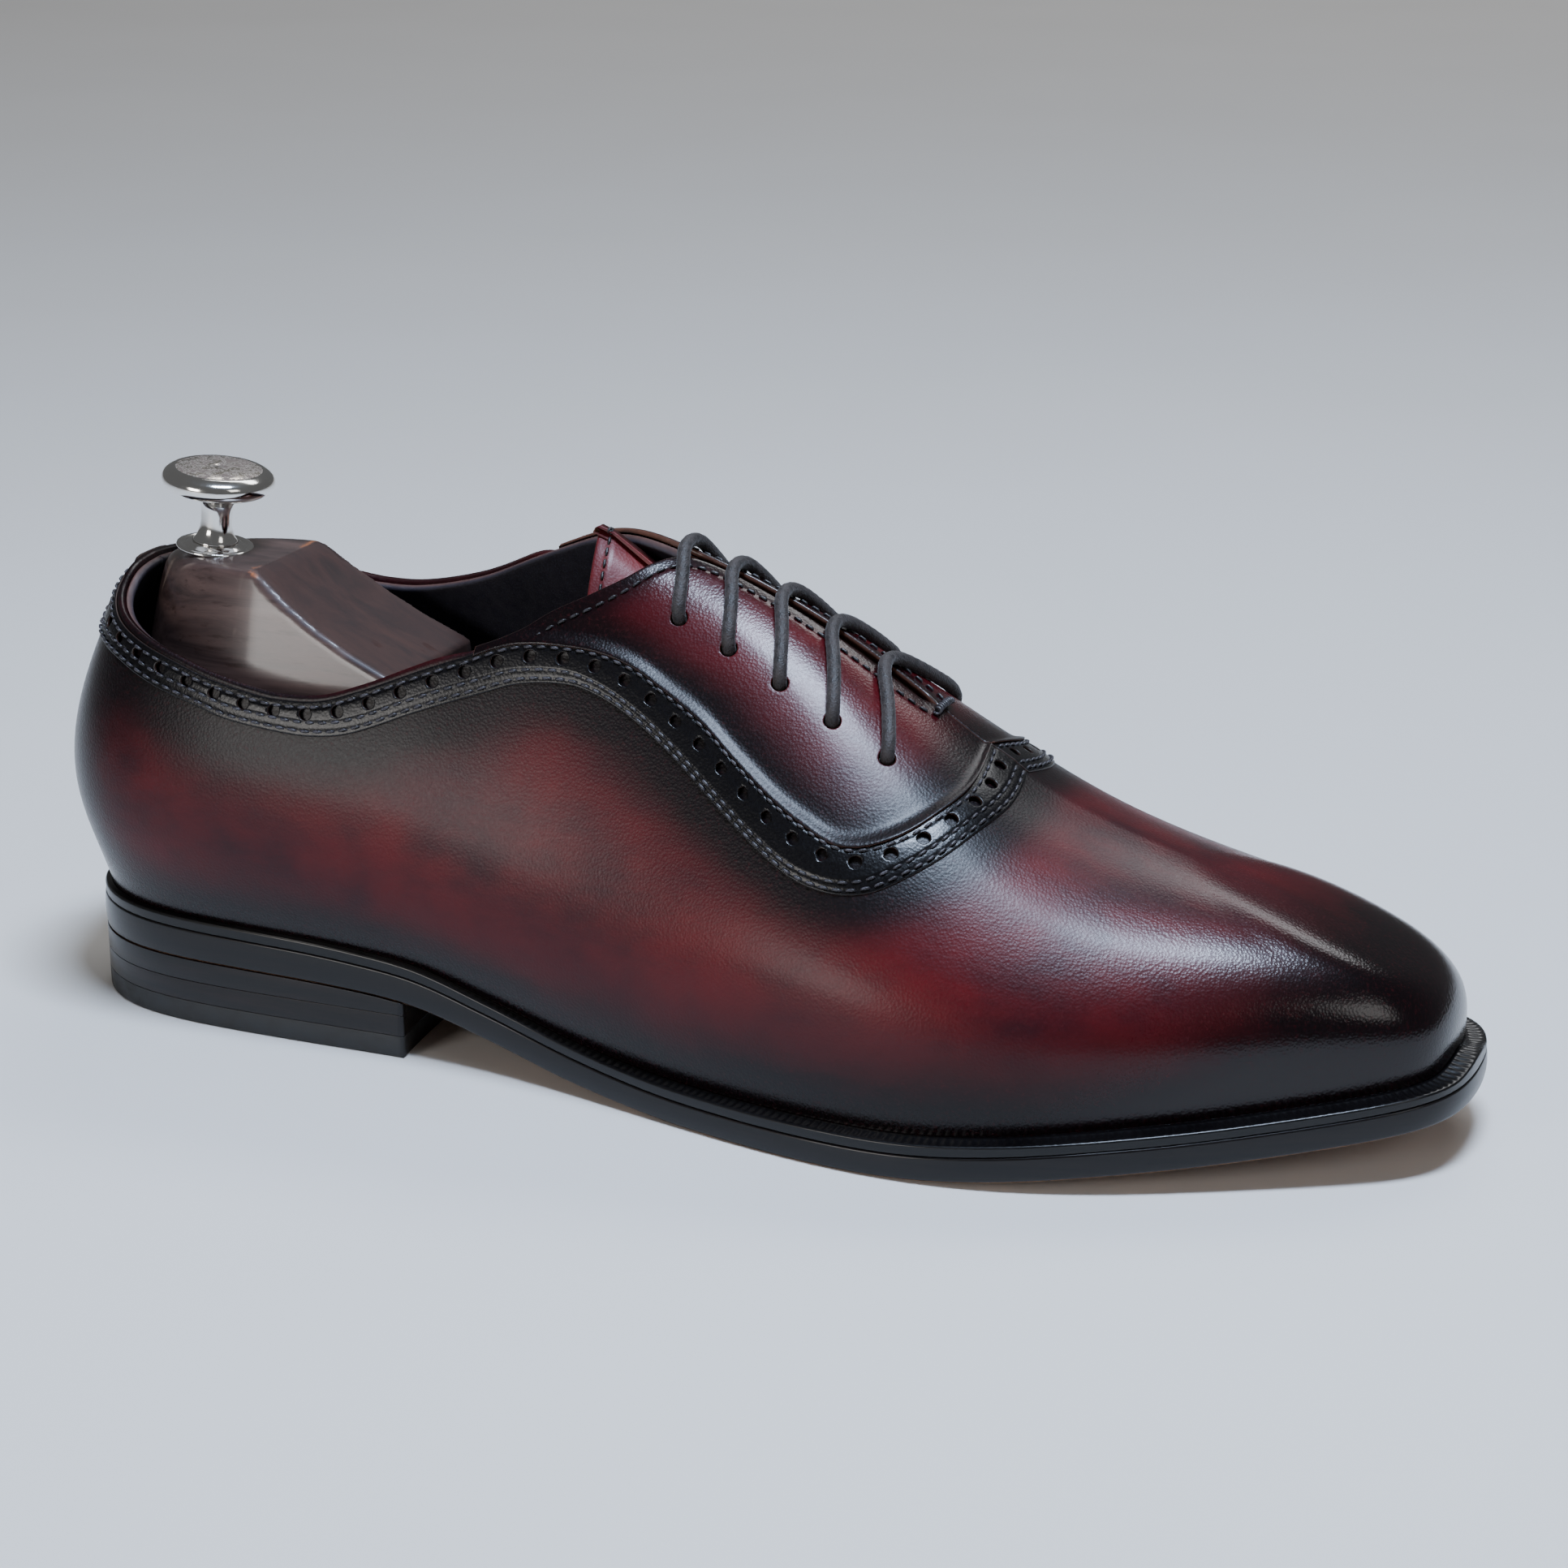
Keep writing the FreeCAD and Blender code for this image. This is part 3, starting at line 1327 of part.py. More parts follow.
doc.recompute()
problems = []
for item in doc.Objects:
    if any(word in item.State for word in ("Invalid", "Error")):
        problems.append("%s: %s" % (item.Label, item.State))
for item in NODES:
    shape = item.Shape
    if shape.isNull() or not shape.isValid() or shape.Volume <= 0:
        problems.append("%s: null %s, valid %s, volume %.1f"
                        % (item.Label, shape.isNull(), shape.isValid(), shape.Volume))
for item in NODES:
    box_of = item.Shape.BoundBox
    print("%-26s %9.0f mm3  x %7.1f %7.1f  y %6.1f %6.1f  z %5.1f %6.1f" % (
        item.Label, item.Shape.Volume, box_of.XMin, box_of.XMax, box_of.YMin, box_of.YMax,
        box_of.ZMin, box_of.ZMax))
if problems:
    raise RuntimeError("\n".join(problems))
for item in NODES:
    item.Shape.exportStep("parts/%s.step" % item.Label)
print("%d nodes" % len(NODES))
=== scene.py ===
import math

import bpy
import numpy as np
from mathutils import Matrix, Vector
from mathutils.kdtree import KDTree


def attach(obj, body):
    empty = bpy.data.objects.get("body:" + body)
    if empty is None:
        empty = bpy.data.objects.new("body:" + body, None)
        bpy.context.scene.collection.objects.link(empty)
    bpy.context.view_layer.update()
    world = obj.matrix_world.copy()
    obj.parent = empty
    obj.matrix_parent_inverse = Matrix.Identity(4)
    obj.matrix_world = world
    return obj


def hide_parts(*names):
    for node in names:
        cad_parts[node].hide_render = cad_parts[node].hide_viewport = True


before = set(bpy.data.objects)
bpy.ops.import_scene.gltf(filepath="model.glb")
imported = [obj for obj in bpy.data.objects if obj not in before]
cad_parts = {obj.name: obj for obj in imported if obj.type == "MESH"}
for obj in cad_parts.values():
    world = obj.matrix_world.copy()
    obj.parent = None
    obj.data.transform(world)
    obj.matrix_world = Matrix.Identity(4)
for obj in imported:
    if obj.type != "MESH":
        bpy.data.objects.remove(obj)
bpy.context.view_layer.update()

# Right-foot leather oxford with a hinged shoe tree in it.
# Shapes are worked out in millimetres on the last the CAD uses, +X to the toe, lateral side -Y,
# and moved into the frame, in metres, when each mesh is made.

# Stations round the last, heel to toe:
# lateral x, y, medial x, y of the feather line, ridge x, z, and place along PROFILES.
STATIONS = [
    (2.6, 0, 2.6, 0, 50, 140, 0.0),
    (4.6, -19, 4.6, 19, 53, 139, 0.0),
    (19, -32.5, 19, 31, 60, 135, 0.0),
    (45, -35, 45, 34, 72, 129, 0.3),
    (75, -34.5, 75, 33, 88, 123, 0.7),
    (105, -34, 105, 30, 106, 118.5, 1.0),
    (135, -39, 135, 31, 126, 111.0, 1.6),
    (162, -45, 162, 38, 147, 102.3, 2.1),
    (187, -49.5, 187, 47, 168, 91.3, 2.5),
    (210, -50, 210, 52, 189, 77.2, 3.0),
    (235, -44, 235, 49, 210, 61.8, 3.4),
    (258, -33, 258, 41, 230, 55.4, 3.8),
    (277, -23, 277, 33, 247, 51.8, 4.0),
    (291, -15, 291, 26, 259, 47.4, 4.0),
    (297, -7, 297, 18, 267, 43.6, 4.0),
    (298, 6, 298, 6, 271, 41.8, 4.0),
]

# Rows of one section from the feather line up to the ridge, for heel, waist, instep, ball, toe:
# outward push in mm, fraction of the way in to the ridge, fraction of the way up to it.
PROFILES = [
    [(-.8, 0, 0), (.6, 0, .055), (7.2, 0, .18), (7, 0, .34), (0, .10, .58), (0, .55, .93), (0, 1, 1)],
    [(-.6, 0, 0), (1, 0, .06), (7.2, 0, .20), (4, .08, .42), (0, .30, .68), (0, .66, .95), (0, 1, 1)],
    [(-.3, 0, 0), (1.2, 0, .08), (6.2, .02, .26), (3, .17, .48), (0, .44, .76), (0, .80, .985), (0, 1, 1)],
    [(0, 0, 0), (.9, 0, .11), (4.2, .02, .34), (1.5, .16, .56), (0, .42, .80), (0, .76, .985), (0, 1, 1)],
    [(0, 0, 0), (.6, 0, .16), (1.9, .02, .42), (.3, .12, .66), (0, .40, .86), (0, .72, .965), (0, 1, 1)],
]

# How much higher the ridge itself stands than the rows beside it, along the ridge.
CREST = [(106, 0), (126, 0.4), (147, 1.1), (168, 2.6), (189, 3.9), (210, 4.0), (230, 2.4), (247, 1.3),
         (259, 1.5), (267, 2.2), (271, 2.6)]

# Side view of the outsole: underside and top heights along x.
SOLE_UNDER = [(-12, 14.6), (0, 14.4), (50, 14.2), (75, 13.4), (90, 11.8), (107, 7.6), (126, 3.2),
              (146, 0.8), (165, 0.15), (190, 0.1), (205, 0.5), (220, 1.6), (240, 3.7), (260, 5.7),
              (280, 8.2), (306, 12.0), (316, 13.4)]
SOLE_TOP = [(-12, 22.3), (0, 22.0), (30, 21.2), (60, 20.5), (75, 19.6), (90, 17.8), (107, 13.3),
            (126, 8.7), (146, 6.0), (165, 5.3), (190, 5.3), (205, 5.7), (220, 6.9), (240, 9.0),
            (260, 11.0), (280, 13.5), (300, 16.4), (316, 18.7)]

# How far the outsole's edge stands out from the feather line, along x.
SOLE_MARGIN = [(-12, 2.3), (0, 2.3), (60, 2.2), (110, 2.7), (160, 4.1), (200, 4.5), (306, 5.0)]

# Topline from the back seam to the front of the ankle opening, then the facing edge to the throat.
TOPLINE_LATERAL = [(0, .735), (.02, .730), (.035, .716), (.050, .703), (.066, .690), (.082, .673),
                   (.093, .657), (.104, .642), (.113, .633), (.124, .635), (.133, .656), (.145, .692),
                   (.158, .733), (.171, .777), (.180, .817), (.191, .857), (.200, .893), (.207, .928),
                   (.2135, .957), (.220, .976), (.228, .984)]
TOPLINE_MEDIAL = [(0, .735), (.02, .732), (.035, .724), (.050, .718), (.066, .714), (.082, .710),
                  (.093, .706), (.102, .702), (.113, .706), (.126, .726), (.139, .756), (.153, .799),
                  (.168, .853), (.178, .889), (.186, .916), (.194, .938), (.202, .955),
                  (.210, .968), (.218, .978), (.228, .984)]
FACING_EDGE = [(.228, .984), (.240, .985), (.255, .985), (.270, .985), (.285, .985), (.298, .988),
               (.303, .998)]
# Upper and lower edges of the punched strip. From the vamp forward both sides have the same line.
STRIP_TOP_FRONT = [(.228, .730), (.239, .691), (.251, .652), (.261, .630), (.270, .620), (.279, .642),
                   (.290, .699), (.301, .781), (.311, .870), (.321, .998)]
STRIP_TOP_LATERAL = [(.0125, .727), (.035, .708), (.050, .694), (.066, .681), (.082, .664), (.093, .647),
                     (.104, .632), (.113, .623), (.124, .625), (.133, .646), (.145, .681), (.158, .722),
                     (.166, .750), (.173, .766), (.183, .778), (.194, .784), (.205, .778),
                     (.216, .758)] + STRIP_TOP_FRONT
STRIP_TOP_MEDIAL = [(.0125, .727), (.035, .715), (.050, .709), (.066, .705), (.082, .701), (.093, .697),
                    (.102, .693), (.113, .697), (.126, .716), (.139, .744), (.150, .775), (.160, .794),
                    (.172, .803), (.183, .803), (.194, .797), (.205, .784),
                    (.216, .760)] + STRIP_TOP_FRONT
STRIP_LOW_FRONT = [(.220, .662), (.234, .605), (.248, .551), (.259, .522), (.270, .522), (.280, .549),
                   (.290, .605), (.301, .684), (.312, .780), (.325, .898), (.334, .998)]
STRIP_LOW_LATERAL = [(.0125, .665), (.035, .651), (.050, .648), (.063, .641), (.080, .617), (.092, .598),
                     (.102, .578), (.116, .563), (.124, .560), (.133, .571), (.148, .620), (.166, .684),
                     (.175, .710), (.188, .727), (.198, .720), (.209, .697)] + STRIP_LOW_FRONT
STRIP_LOW_MEDIAL = [(.0125, .665), (.035, .658), (.050, .657), (.066, .655), (.082, .650), (.093, .643),
                    (.105, .637), (.116, .641), (.126, .656), (.139, .688), (.150, .714), (.166, .739),
                    (.178, .744), (.188, .738), (.198, .725), (.209, .699)] + STRIP_LOW_FRONT
STRIP_END = STRIP_LOW_FRONT[-1][0]
# Lace holes of one side, top to bottom.
EYELETS = [(.218, .862), (.2343, .847), (.251, .834), (.268, .824), (.2855, .822)]

# Cross sections of the tree's forepart:
# x, centre y, half width, height of its underside above the sole top, height of its top.
FORE_SECTIONS = [
    (93.0, 0.0, 20.0, 7.2, 60.0),
    (100.0, -0.5, 21.0, 7.0, 72.0),
    (112.0, -1.0, 21.5, 7.0, 76.0),
    (128.0, -2.0, 22.5, 7.0, 82.0),
    (146.0, -2.5, 25.5, 7.0, 79.0),
    (166.0, -2.0, 30.0, 7.0, 69.0),
    (188.0, -1.0, 35.0, 7.0, 55.5),
    (212.0, 1.0, 37.0, 7.0, 45.5),
    (236.0, 3.0, 33.0, 7.4, 37.5),
    (256.0, 5.0, 24.0, 8.2, 33.5),
    (270.0, 6.0, 14.0, 9.6, 29.0),
]
# The frame's origin on the last's drawing, and the gap between the last and the sole's top, in mm.
CENTRE = np.array([149.15, 0.65, 0.0])
ABOVE_SOLE = 0.1
MM_PER_METRE = 1000.0


def to_frame(points):
    return (np.asarray(points, float) - CENTRE) / MM_PER_METRE


# ---------------------------------------------------------------- last surface

def smooth_table(table, x):
    """Cubic Hermite curve through a table of (place, value)."""
    marks, values = np.array(table, float).T
    x = np.clip(x, marks[0], marks[-1])
    i = np.clip(np.searchsorted(marks, x) - 1, 0, len(marks) - 2)
    before, after = np.maximum(i - 1, 0), np.minimum(i + 2, len(marks) - 1)
    h = marks[i + 1] - marks[i]
    slope0 = (values[i + 1] - values[before]) / (marks[i + 1] - marks[before])
    slope1 = (values[after] - values[i]) / (marks[after] - marks[i])
    u = (x - marks[i]) / h
    return ((2 * u ** 3 - 3 * u ** 2 + 1) * values[i] + (u ** 3 - 2 * u ** 2 + u) * h * slope0
            + (3 * u ** 2 - 2 * u ** 3) * values[i + 1] + (u ** 3 - u ** 2) * h * slope1)


def lerp_table(table, x):
    marks, values = np.array(table, float).T
    return np.interp(x, marks, values)


def profile_at(place):
    i = min(int(place), len(PROFILES) - 2)
    u = place - i
    return np.array(PROFILES[i], float) * (1 - u) + np.array(PROFILES[i + 1], float) * u


def last_net():
    """Columns round the last; each row holds x, y and the height above the sole top."""
    medial = STATIONS[-2:0:-1]
    feather = [(s[0], s[1]) for s in STATIONS] + [(s[2], s[3]) for s in medial]
    ridge = [(s[4], s[5], s[6]) for s in STATIONS] + [(s[4], s[5], s[6]) for s in medial]
    net = []
    for i, ((fx, fy), (rx, rz, place)) in enumerate(zip(feather, ridge)):
        ax, ay = feather[i - 1]
        bx, by = feather[(i + 1) % len(feather)]
        length = math.hypot(bx - ax, by - ay)
        nx, ny = (by - ay) / length, -(bx - ax) / length
        out, inward, up = profile_at(place).T
        rise = rz - lerp_table(SOLE_TOP, fx)
        crest = lerp_table(CREST, rx) * (inward >= 1)
        net.append(np.stack([fx + (rx - fx) * inward + nx * out, fy - fy * inward + ny * out,
                             rise * up + crest], -1))
    return np.array(net)


NET = last_net()
COLUMNS, ROWS = NET.shape[:2]
KNOTS = [0.0] * 3 + [i / (ROWS - 3) for i in range(ROWS - 2)] + [1.0] * 3


def row_weights(t):
    """Clamped cubic B-spline weights of the rows."""
    t = np.clip(t, 0.0, 1.0 - 1e-9)
    basis = [((KNOTS[i] <= t) & (t < KNOTS[i + 1])).astype(float) for i in range(len(KNOTS) - 1)]
    for degree in (1, 2, 3):
        higher = []
        for i in range(len(basis) - 1):
            value = np.zeros_like(t)
            if KNOTS[i + degree] > KNOTS[i]:
                value += (t - KNOTS[i]) / (KNOTS[i + degree] - KNOTS[i]) * basis[i]
            if KNOTS[i + degree + 1] > KNOTS[i + 1]:
                value += ((KNOTS[i + degree + 1] - t) / (KNOTS[i + degree + 1] - KNOTS[i + 1])
                          * basis[i + 1])
            higher.append(value)
        basis = higher
    return np.stack(basis, -1)


def smoothstep(share):
    return share * share * (3.0 - 2.0 * share)


# Dome over the toe: its middle and reach along x and y, where its slope starts, and its height there.
DOME_MIDDLE = (272.0, 4.0)
DOME_REACH = (26.0, 21.0)
DOME_START = 260.0
DOME_HEIGHT = 49.0


def toe_dome(x, y, z):
    """Height over the toe, where the ridge ends, faired into one smooth dome."""
    ahead, aside = x - DOME_START, y - DOME_MIDDLE[1]
    away = ((x - DOME_MIDDLE[0]) / DOME_REACH[0]) ** 2 + (aside / DOME_REACH[1]) ** 2
    share = smoothstep(np.clip(1.15 - away, 0.0, 1.0))
    dome = DOME_HEIGHT - 0.30 * ahead - 0.0034 * ahead ** 2 - 0.0018 * aside ** 2 - 1.1e-5 * aside ** 4
    return z + share * (dome - z)


def last_points(s, t):
    """Points of the last: s goes round from the heel, lateral side first, t from feather to ridge."""
    s, t = np.broadcast_arrays(np.asarray(s, float), np.asarray(t, float))
    place = (s % 1.0) * COLUMNS
    first = np.floor(place).astype(int)
    u = place - first
    across = np.stack([(1 - u) ** 3 / 6, (3 * u ** 3 - 6 * u ** 2 + 4) / 6,
                       (-3 * u ** 3 + 3 * u ** 2 + 3 * u + 1) / 6, u ** 3 / 6], -1)
    columns = NET[(first[..., None] + np.arange(-1, 3)) % COLUMNS]
    rails = np.einsum("...k,...kjc->...jc", across, columns)
    points = np.einsum("...j,...jc->...c", row_weights(t), rails)
    points[..., 2] += smooth_table(SOLE_TOP, rails[..., 0, 0]) + ABOVE_SOLE
    points[..., 2] = toe_dome(points[..., 0], points[..., 1], points[..., 2])
    return points


def points_at(st):
    return last_points(st[..., 0], st[..., 1])


def unit(vectors):
    return vectors / np.maximum(np.linalg.norm(vectors, axis=-1, keepdims=True), 1e-12)


def last_normals(s, t):
    """Outward normals; beside the ridge they are taken just below it."""
    t = np.minimum(t, 0.992)
    along = last_points(s + 0.001, t) - last_points(s - 0.001, t)
    upward = last_points(s, t + 0.004) - last_points(s, np.maximum(t - 0.004, 0.0))
    return unit(np.cross(along, upward))


def leather_points(s, t, offset):
    return last_points(s, t) + last_normals(s, t) * np.asarray(offset)[..., None]


# ---------------------------------------------------------------- lines

def running_length(points):
    """Distance along a line of points, from its first point to each one."""
    steps = np.linalg.norm(np.diff(points, axis=0), axis=1)
    return np.concatenate([[0.0], np.cumsum(steps)])


def at_marks(places, marks, line):
    """Rows of a line at distances along it, where marks are the distances of its own rows."""
    return np.stack([np.interp(places, marks, column) for column in np.transpose(line)], -1)


def smooth_at_marks(places, marks, line):
    return np.stack([smooth_table(np.stack([marks, column], -1), places) for column in np.transpose(line)], -1)


def smooth_outline(points, count):
    """Cubic curve through a few outline points, by chord length."""
    points = np.array(points, float)
    marks = running_length(points)
    return smooth_at_marks(np.linspace(0, marks[-1], count), marks, points)


class PatternLine:
    """Smooth line through (s, t) points, evaluated by fractions of its length."""

    def __init__(self, points, mirrored=False):
        self.points = np.array(points, float)
        if mirrored:
            self.points[:, 0] = 1.0 - self.points[:, 0]
        self.marks = running_length(points_at(self.points))
        self.length = self.marks[-1]

    def at(self, u):
        return smooth_at_marks(np.clip(u, 0.0, 1.0) * self.length, self.marks, self.points)

    def fraction_at(self, s):
        """Fraction of the length where the line passes the place s."""
        u = np.linspace(0.0, 1.0, 1500)
        values = self.at(u)[:, 0]
        if values[-1] < values[0]:
            return np.interp(s, values[::-1], u[::-1])
        return np.interp(s, values, u)


def pattern(top, strip_top, strip_low, mirrored):
    return {
        "top": PatternLine(top, mirrored),
        "opening": PatternLine(top + FACING_EDGE[1:], mirrored),
        "strip_top": PatternLine(strip_top, mirrored),
        "strip_low": PatternLine(strip_low, mirrored),
        "mirrored": mirrored,
    }


SIDES = ("lateral", "medial")
PATTERNS = {
    "lateral": pattern(TOPLINE_LATERAL, STRIP_TOP_LATERAL, STRIP_LOW_LATERAL, False),
    "medial": pattern(TOPLINE_MEDIAL, STRIP_TOP_MEDIAL, STRIP_LOW_MEDIAL, True),
}


def own_s(lines, s):
    """The place of one side that mirrors a place given for the lateral side."""
    return 1.0 - s if lines["mirrored"] else s


def height_on(line, s):
    return line.at(line.fraction_at(s))[..., 1]


def between(low, high, v):
    """Places between two lines of places, at fractions v across."""
    v = np.asarray(v)[..., None]
    return low * (1 - v) + high * v

# ---------------------------------------------------------------- meshes

def mesh_object(name, points, faces, smooth=True):
    """Mesh object in the frame from points in millimetres."""
    mesh = bpy.data.meshes.new(name)
    mesh.from_pydata(to_frame(points).tolist(), [], faces if isinstance(faces, list) else faces.tolist())
    mesh.validate()
    mesh.polygons.foreach_set("use_smooth", [smooth] * len(mesh.polygons))
    obj = bpy.data.objects.new(name, mesh)
    bpy.context.scene.collection.objects.link(obj)
    return obj


def raw_points(obj):
    co = np.zeros(len(obj.data.vertices) * 3)
    obj.data.vertices.foreach_get("co", co)
    return co.reshape(-1, 3) * MM_PER_METRE + CENTRE


def set_attribute(obj, name, values):
    attributes = obj.data.attributes
    attribute = attributes.get(name) or attributes.new(name, "FLOAT", "POINT")
    attribute.data.foreach_set("value", np.asarray(values, np.float32))


def outward(points, quads):
    """The quads, turned so that the closed mesh has a positive volume."""
    a, b, c, d = (points[quads[:, k]] for k in range(4))
    volume = np.einsum("ij,ij->i", a, np.cross(b, c) + np.cross(c, d)).sum()
    return quads[:, ::-1] if volume < 0 else quads


def grid_quads(index, wrap=False):
    """Quads between neighbouring entries of a 2-D array of vertex numbers."""
    if wrap:
        index = np.vstack([index, index[:1]])
    corners = [index[:-1, :-1], index[1:, :-1], index[1:, 1:], index[:-1, 1:]]
    return np.stack(corners, -1).reshape(-1, 4)


def ring_faces(rings, joined=False):
    """Points, quads and the two flat ends of a mesh made of rings of points."""
    rings = np.asarray(rings, float)
    index = np.arange(rings.shape[0] * rings.shape[1]).reshape(rings.shape[:2])
    points = rings.reshape(-1, 3)
    quads = grid_quads(np.hstack([index, index[:, :1]]), joined)
    faces = outward(points, quads)
    ends = [index[0].tolist(), index[-1, ::-1].tolist()]
    if faces[0, 0] != quads[0, 0]:
        ends = [end[::-1] for end in ends]
    return points, faces, ends


def ring_mesh(name, rings, flat_ends=False, joined=False, smooth=True):
    """Mesh of rings of points, with flat ends, or with its last ring joined to its first."""
    points, quads, ends = ring_faces(rings, joined)
    return mesh_object(name, points, quads.tolist() + (ends if flat_ends else []), smooth)


def raised(plan, z):
    """Points of a plan outline at their heights."""
    return np.column_stack([plan[:, :2], np.broadcast_to(z, len(plan))])


def corner_steps(radius, angles):
    """Inset and drop of each step round a rounded corner."""
    bends = [math.radians(angle) for angle in angles]
    return [(radius * (1 - math.sin(bend)), radius * (1 - math.cos(bend))) for bend in bends]


def apply_modifiers(obj):
    depsgraph = bpy.context.evaluated_depsgraph_get()
    mesh = bpy.data.meshes.new_from_object(obj.evaluated_get(depsgraph))
    obj.modifiers.clear()
    old = obj.data
    obj.data = mesh
    bpy.data.meshes.remove(old)
    mesh.name = obj.name


WELD_GAP = 2e-6


def weld(obj):
    modifier = obj.modifiers.new("weld", "WELD")
    modifier.merge_threshold = WELD_GAP
    apply_modifiers(obj)


def cut_away(obj, cutter):
    """Cut a piece by another, which is then removed."""
    modifier = obj.modifiers.new("cut", "BOOLEAN")
    modifier.operation = "DIFFERENCE"
    modifier.solver = "EXACT"
    modifier.object = cutter
    apply_modifiers(obj)
    bpy.data.objects.remove(cutter)


def sharpen_caps(obj):
    """Flat shading for the many-sided faces, so that they stay flat."""
    for polygon in obj.data.polygons:
        if len(polygon.vertices) > 4:
            polygon.use_smooth = False

def edge_marks(radius, steps=4):
    """Distances from an edge where the rounding of that radius is sampled."""
    angles = np.linspace(0.0, math.pi / 2, steps + 1)
    return radius * (1 - np.cos(angles))


def rounding(distance, radius):
    """How far a rounded edge drops below its face at a distance from the rim."""
    inside = np.clip(radius - distance, 0.0, radius)
    return radius - np.sqrt(radius ** 2 - inside ** 2)


def fractions(length, low_marks, high_marks, step, least=3):
    """Places 0 to 1 along each length, with fixed distances near both ends."""
    length = np.atleast_1d(np.asarray(length, float))
    low_marks, high_marks = np.asarray(low_marks, float), np.asarray(high_marks, float)
    room = low_marks[-1] + high_marks[-1]
    squeeze = np.minimum(1.0, 0.8 * length / max(room, 1e-6))
    low = low_marks[None] * squeeze[:, None]
    high = length[:, None] - high_marks[::-1][None] * squeeze[:, None]
    count = max(least, int(round((length.max() - room) / step)))
    middle = low[:, -1:] + (high[:, :1] - low[:, -1:]) * (np.arange(1, count) / count)[None]
    return np.concatenate([low, middle, high], 1) / length[:, None]


class Distances:
    """Distances in mm of each grid place from the four edges of a sheet."""

    def __init__(self, u, v, across, along):
        self.low = v * across
        self.high = (1 - v) * across
        self.start = u * along
        self.end = (1 - u) * along
        self.u = u


def cross_length(place, u, samples=13):
    """Length in mm across a sheet at each u."""
    v = np.linspace(0.0, 1.0, samples)
    st = place(u[:, None], np.broadcast_to(v, (len(u), samples)))
    return np.linalg.norm(np.diff(points_at(st), axis=1), axis=-1).sum(1)


def along_length(place, samples=200):
    """Length in mm of a sheet along its middle."""
    u = np.linspace(0.0, 1.0, samples)
    st = place(u[:, None], np.full((samples, 1), 0.5))
    return running_length(points_at(st)[:, 0])[-1]


# Shares of the way from the grid round a punched hole to its rim, and the rim's rounding.
HOLE_SHARES = (0.45, 0.72, 0.86, 0.94, 1.0)
CUT_ROUNDING = 0.22
FAR = 99.0


def hole_slopes(place, hole):
    """How the last's surface moves, in mm, with u and with v at a hole."""
    step = 1e-3
    corners = [(hole[0], hole[1]), (hole[0] + step, hole[1]), (hole[0], hole[1] + step)]
    centre, along, across = (points_at(place(np.array([[u]]), np.array([[v]])))[0, 0] for u, v in corners)
    return (along - centre) / step, (across - centre) / step


def hole_rings(place, u, v, hole, radius, block):
    """Grid border round a hole, as index pairs, and the (u, v) and rim distance of each ring in it."""
    slope_u, slope_v = hole_slopes(place, hole)
    first = unit(slope_u)
    second = unit(slope_v - first * (slope_v @ first))
    jacobian = np.array([[slope_u @ first, slope_v @ first], [0.0, slope_v @ second]])
    near_u = np.flatnonzero(np.abs(u - hole[0]) * np.linalg.norm(slope_u) <= block)
    middle = near_u[len(near_u) // 2]
    near_v = np.flatnonzero(np.abs(v[middle] - hole[1]) * np.linalg.norm(slope_v) <= block)
    i0, i1, j0, j1 = near_u[0], near_u[-1], near_v[0], near_v[-1]
    border = np.array([(i, j0) for i in range(i0, i1)] + [(i1, j) for j in range(j0, j1)]
                      + [(i, j1) for i in range(i1, i0, -1)] + [(i0, j) for j in range(j1, j0, -1)])
    places = np.stack([u[border[:, 0]], v[border[:, 0], border[:, 1]]], -1)
    plane = (places - hole) @ jacobian.T
    circle = unit(plane) * radius
    back = np.linalg.inv(jacobian).T
    rings = []
    for share in HOLE_SHARES:
        ring = plane * (1 - share) + circle * share
        rings.append((ring @ back + hole, np.linalg.norm(ring, axis=-1) - radius))
    return border, rings


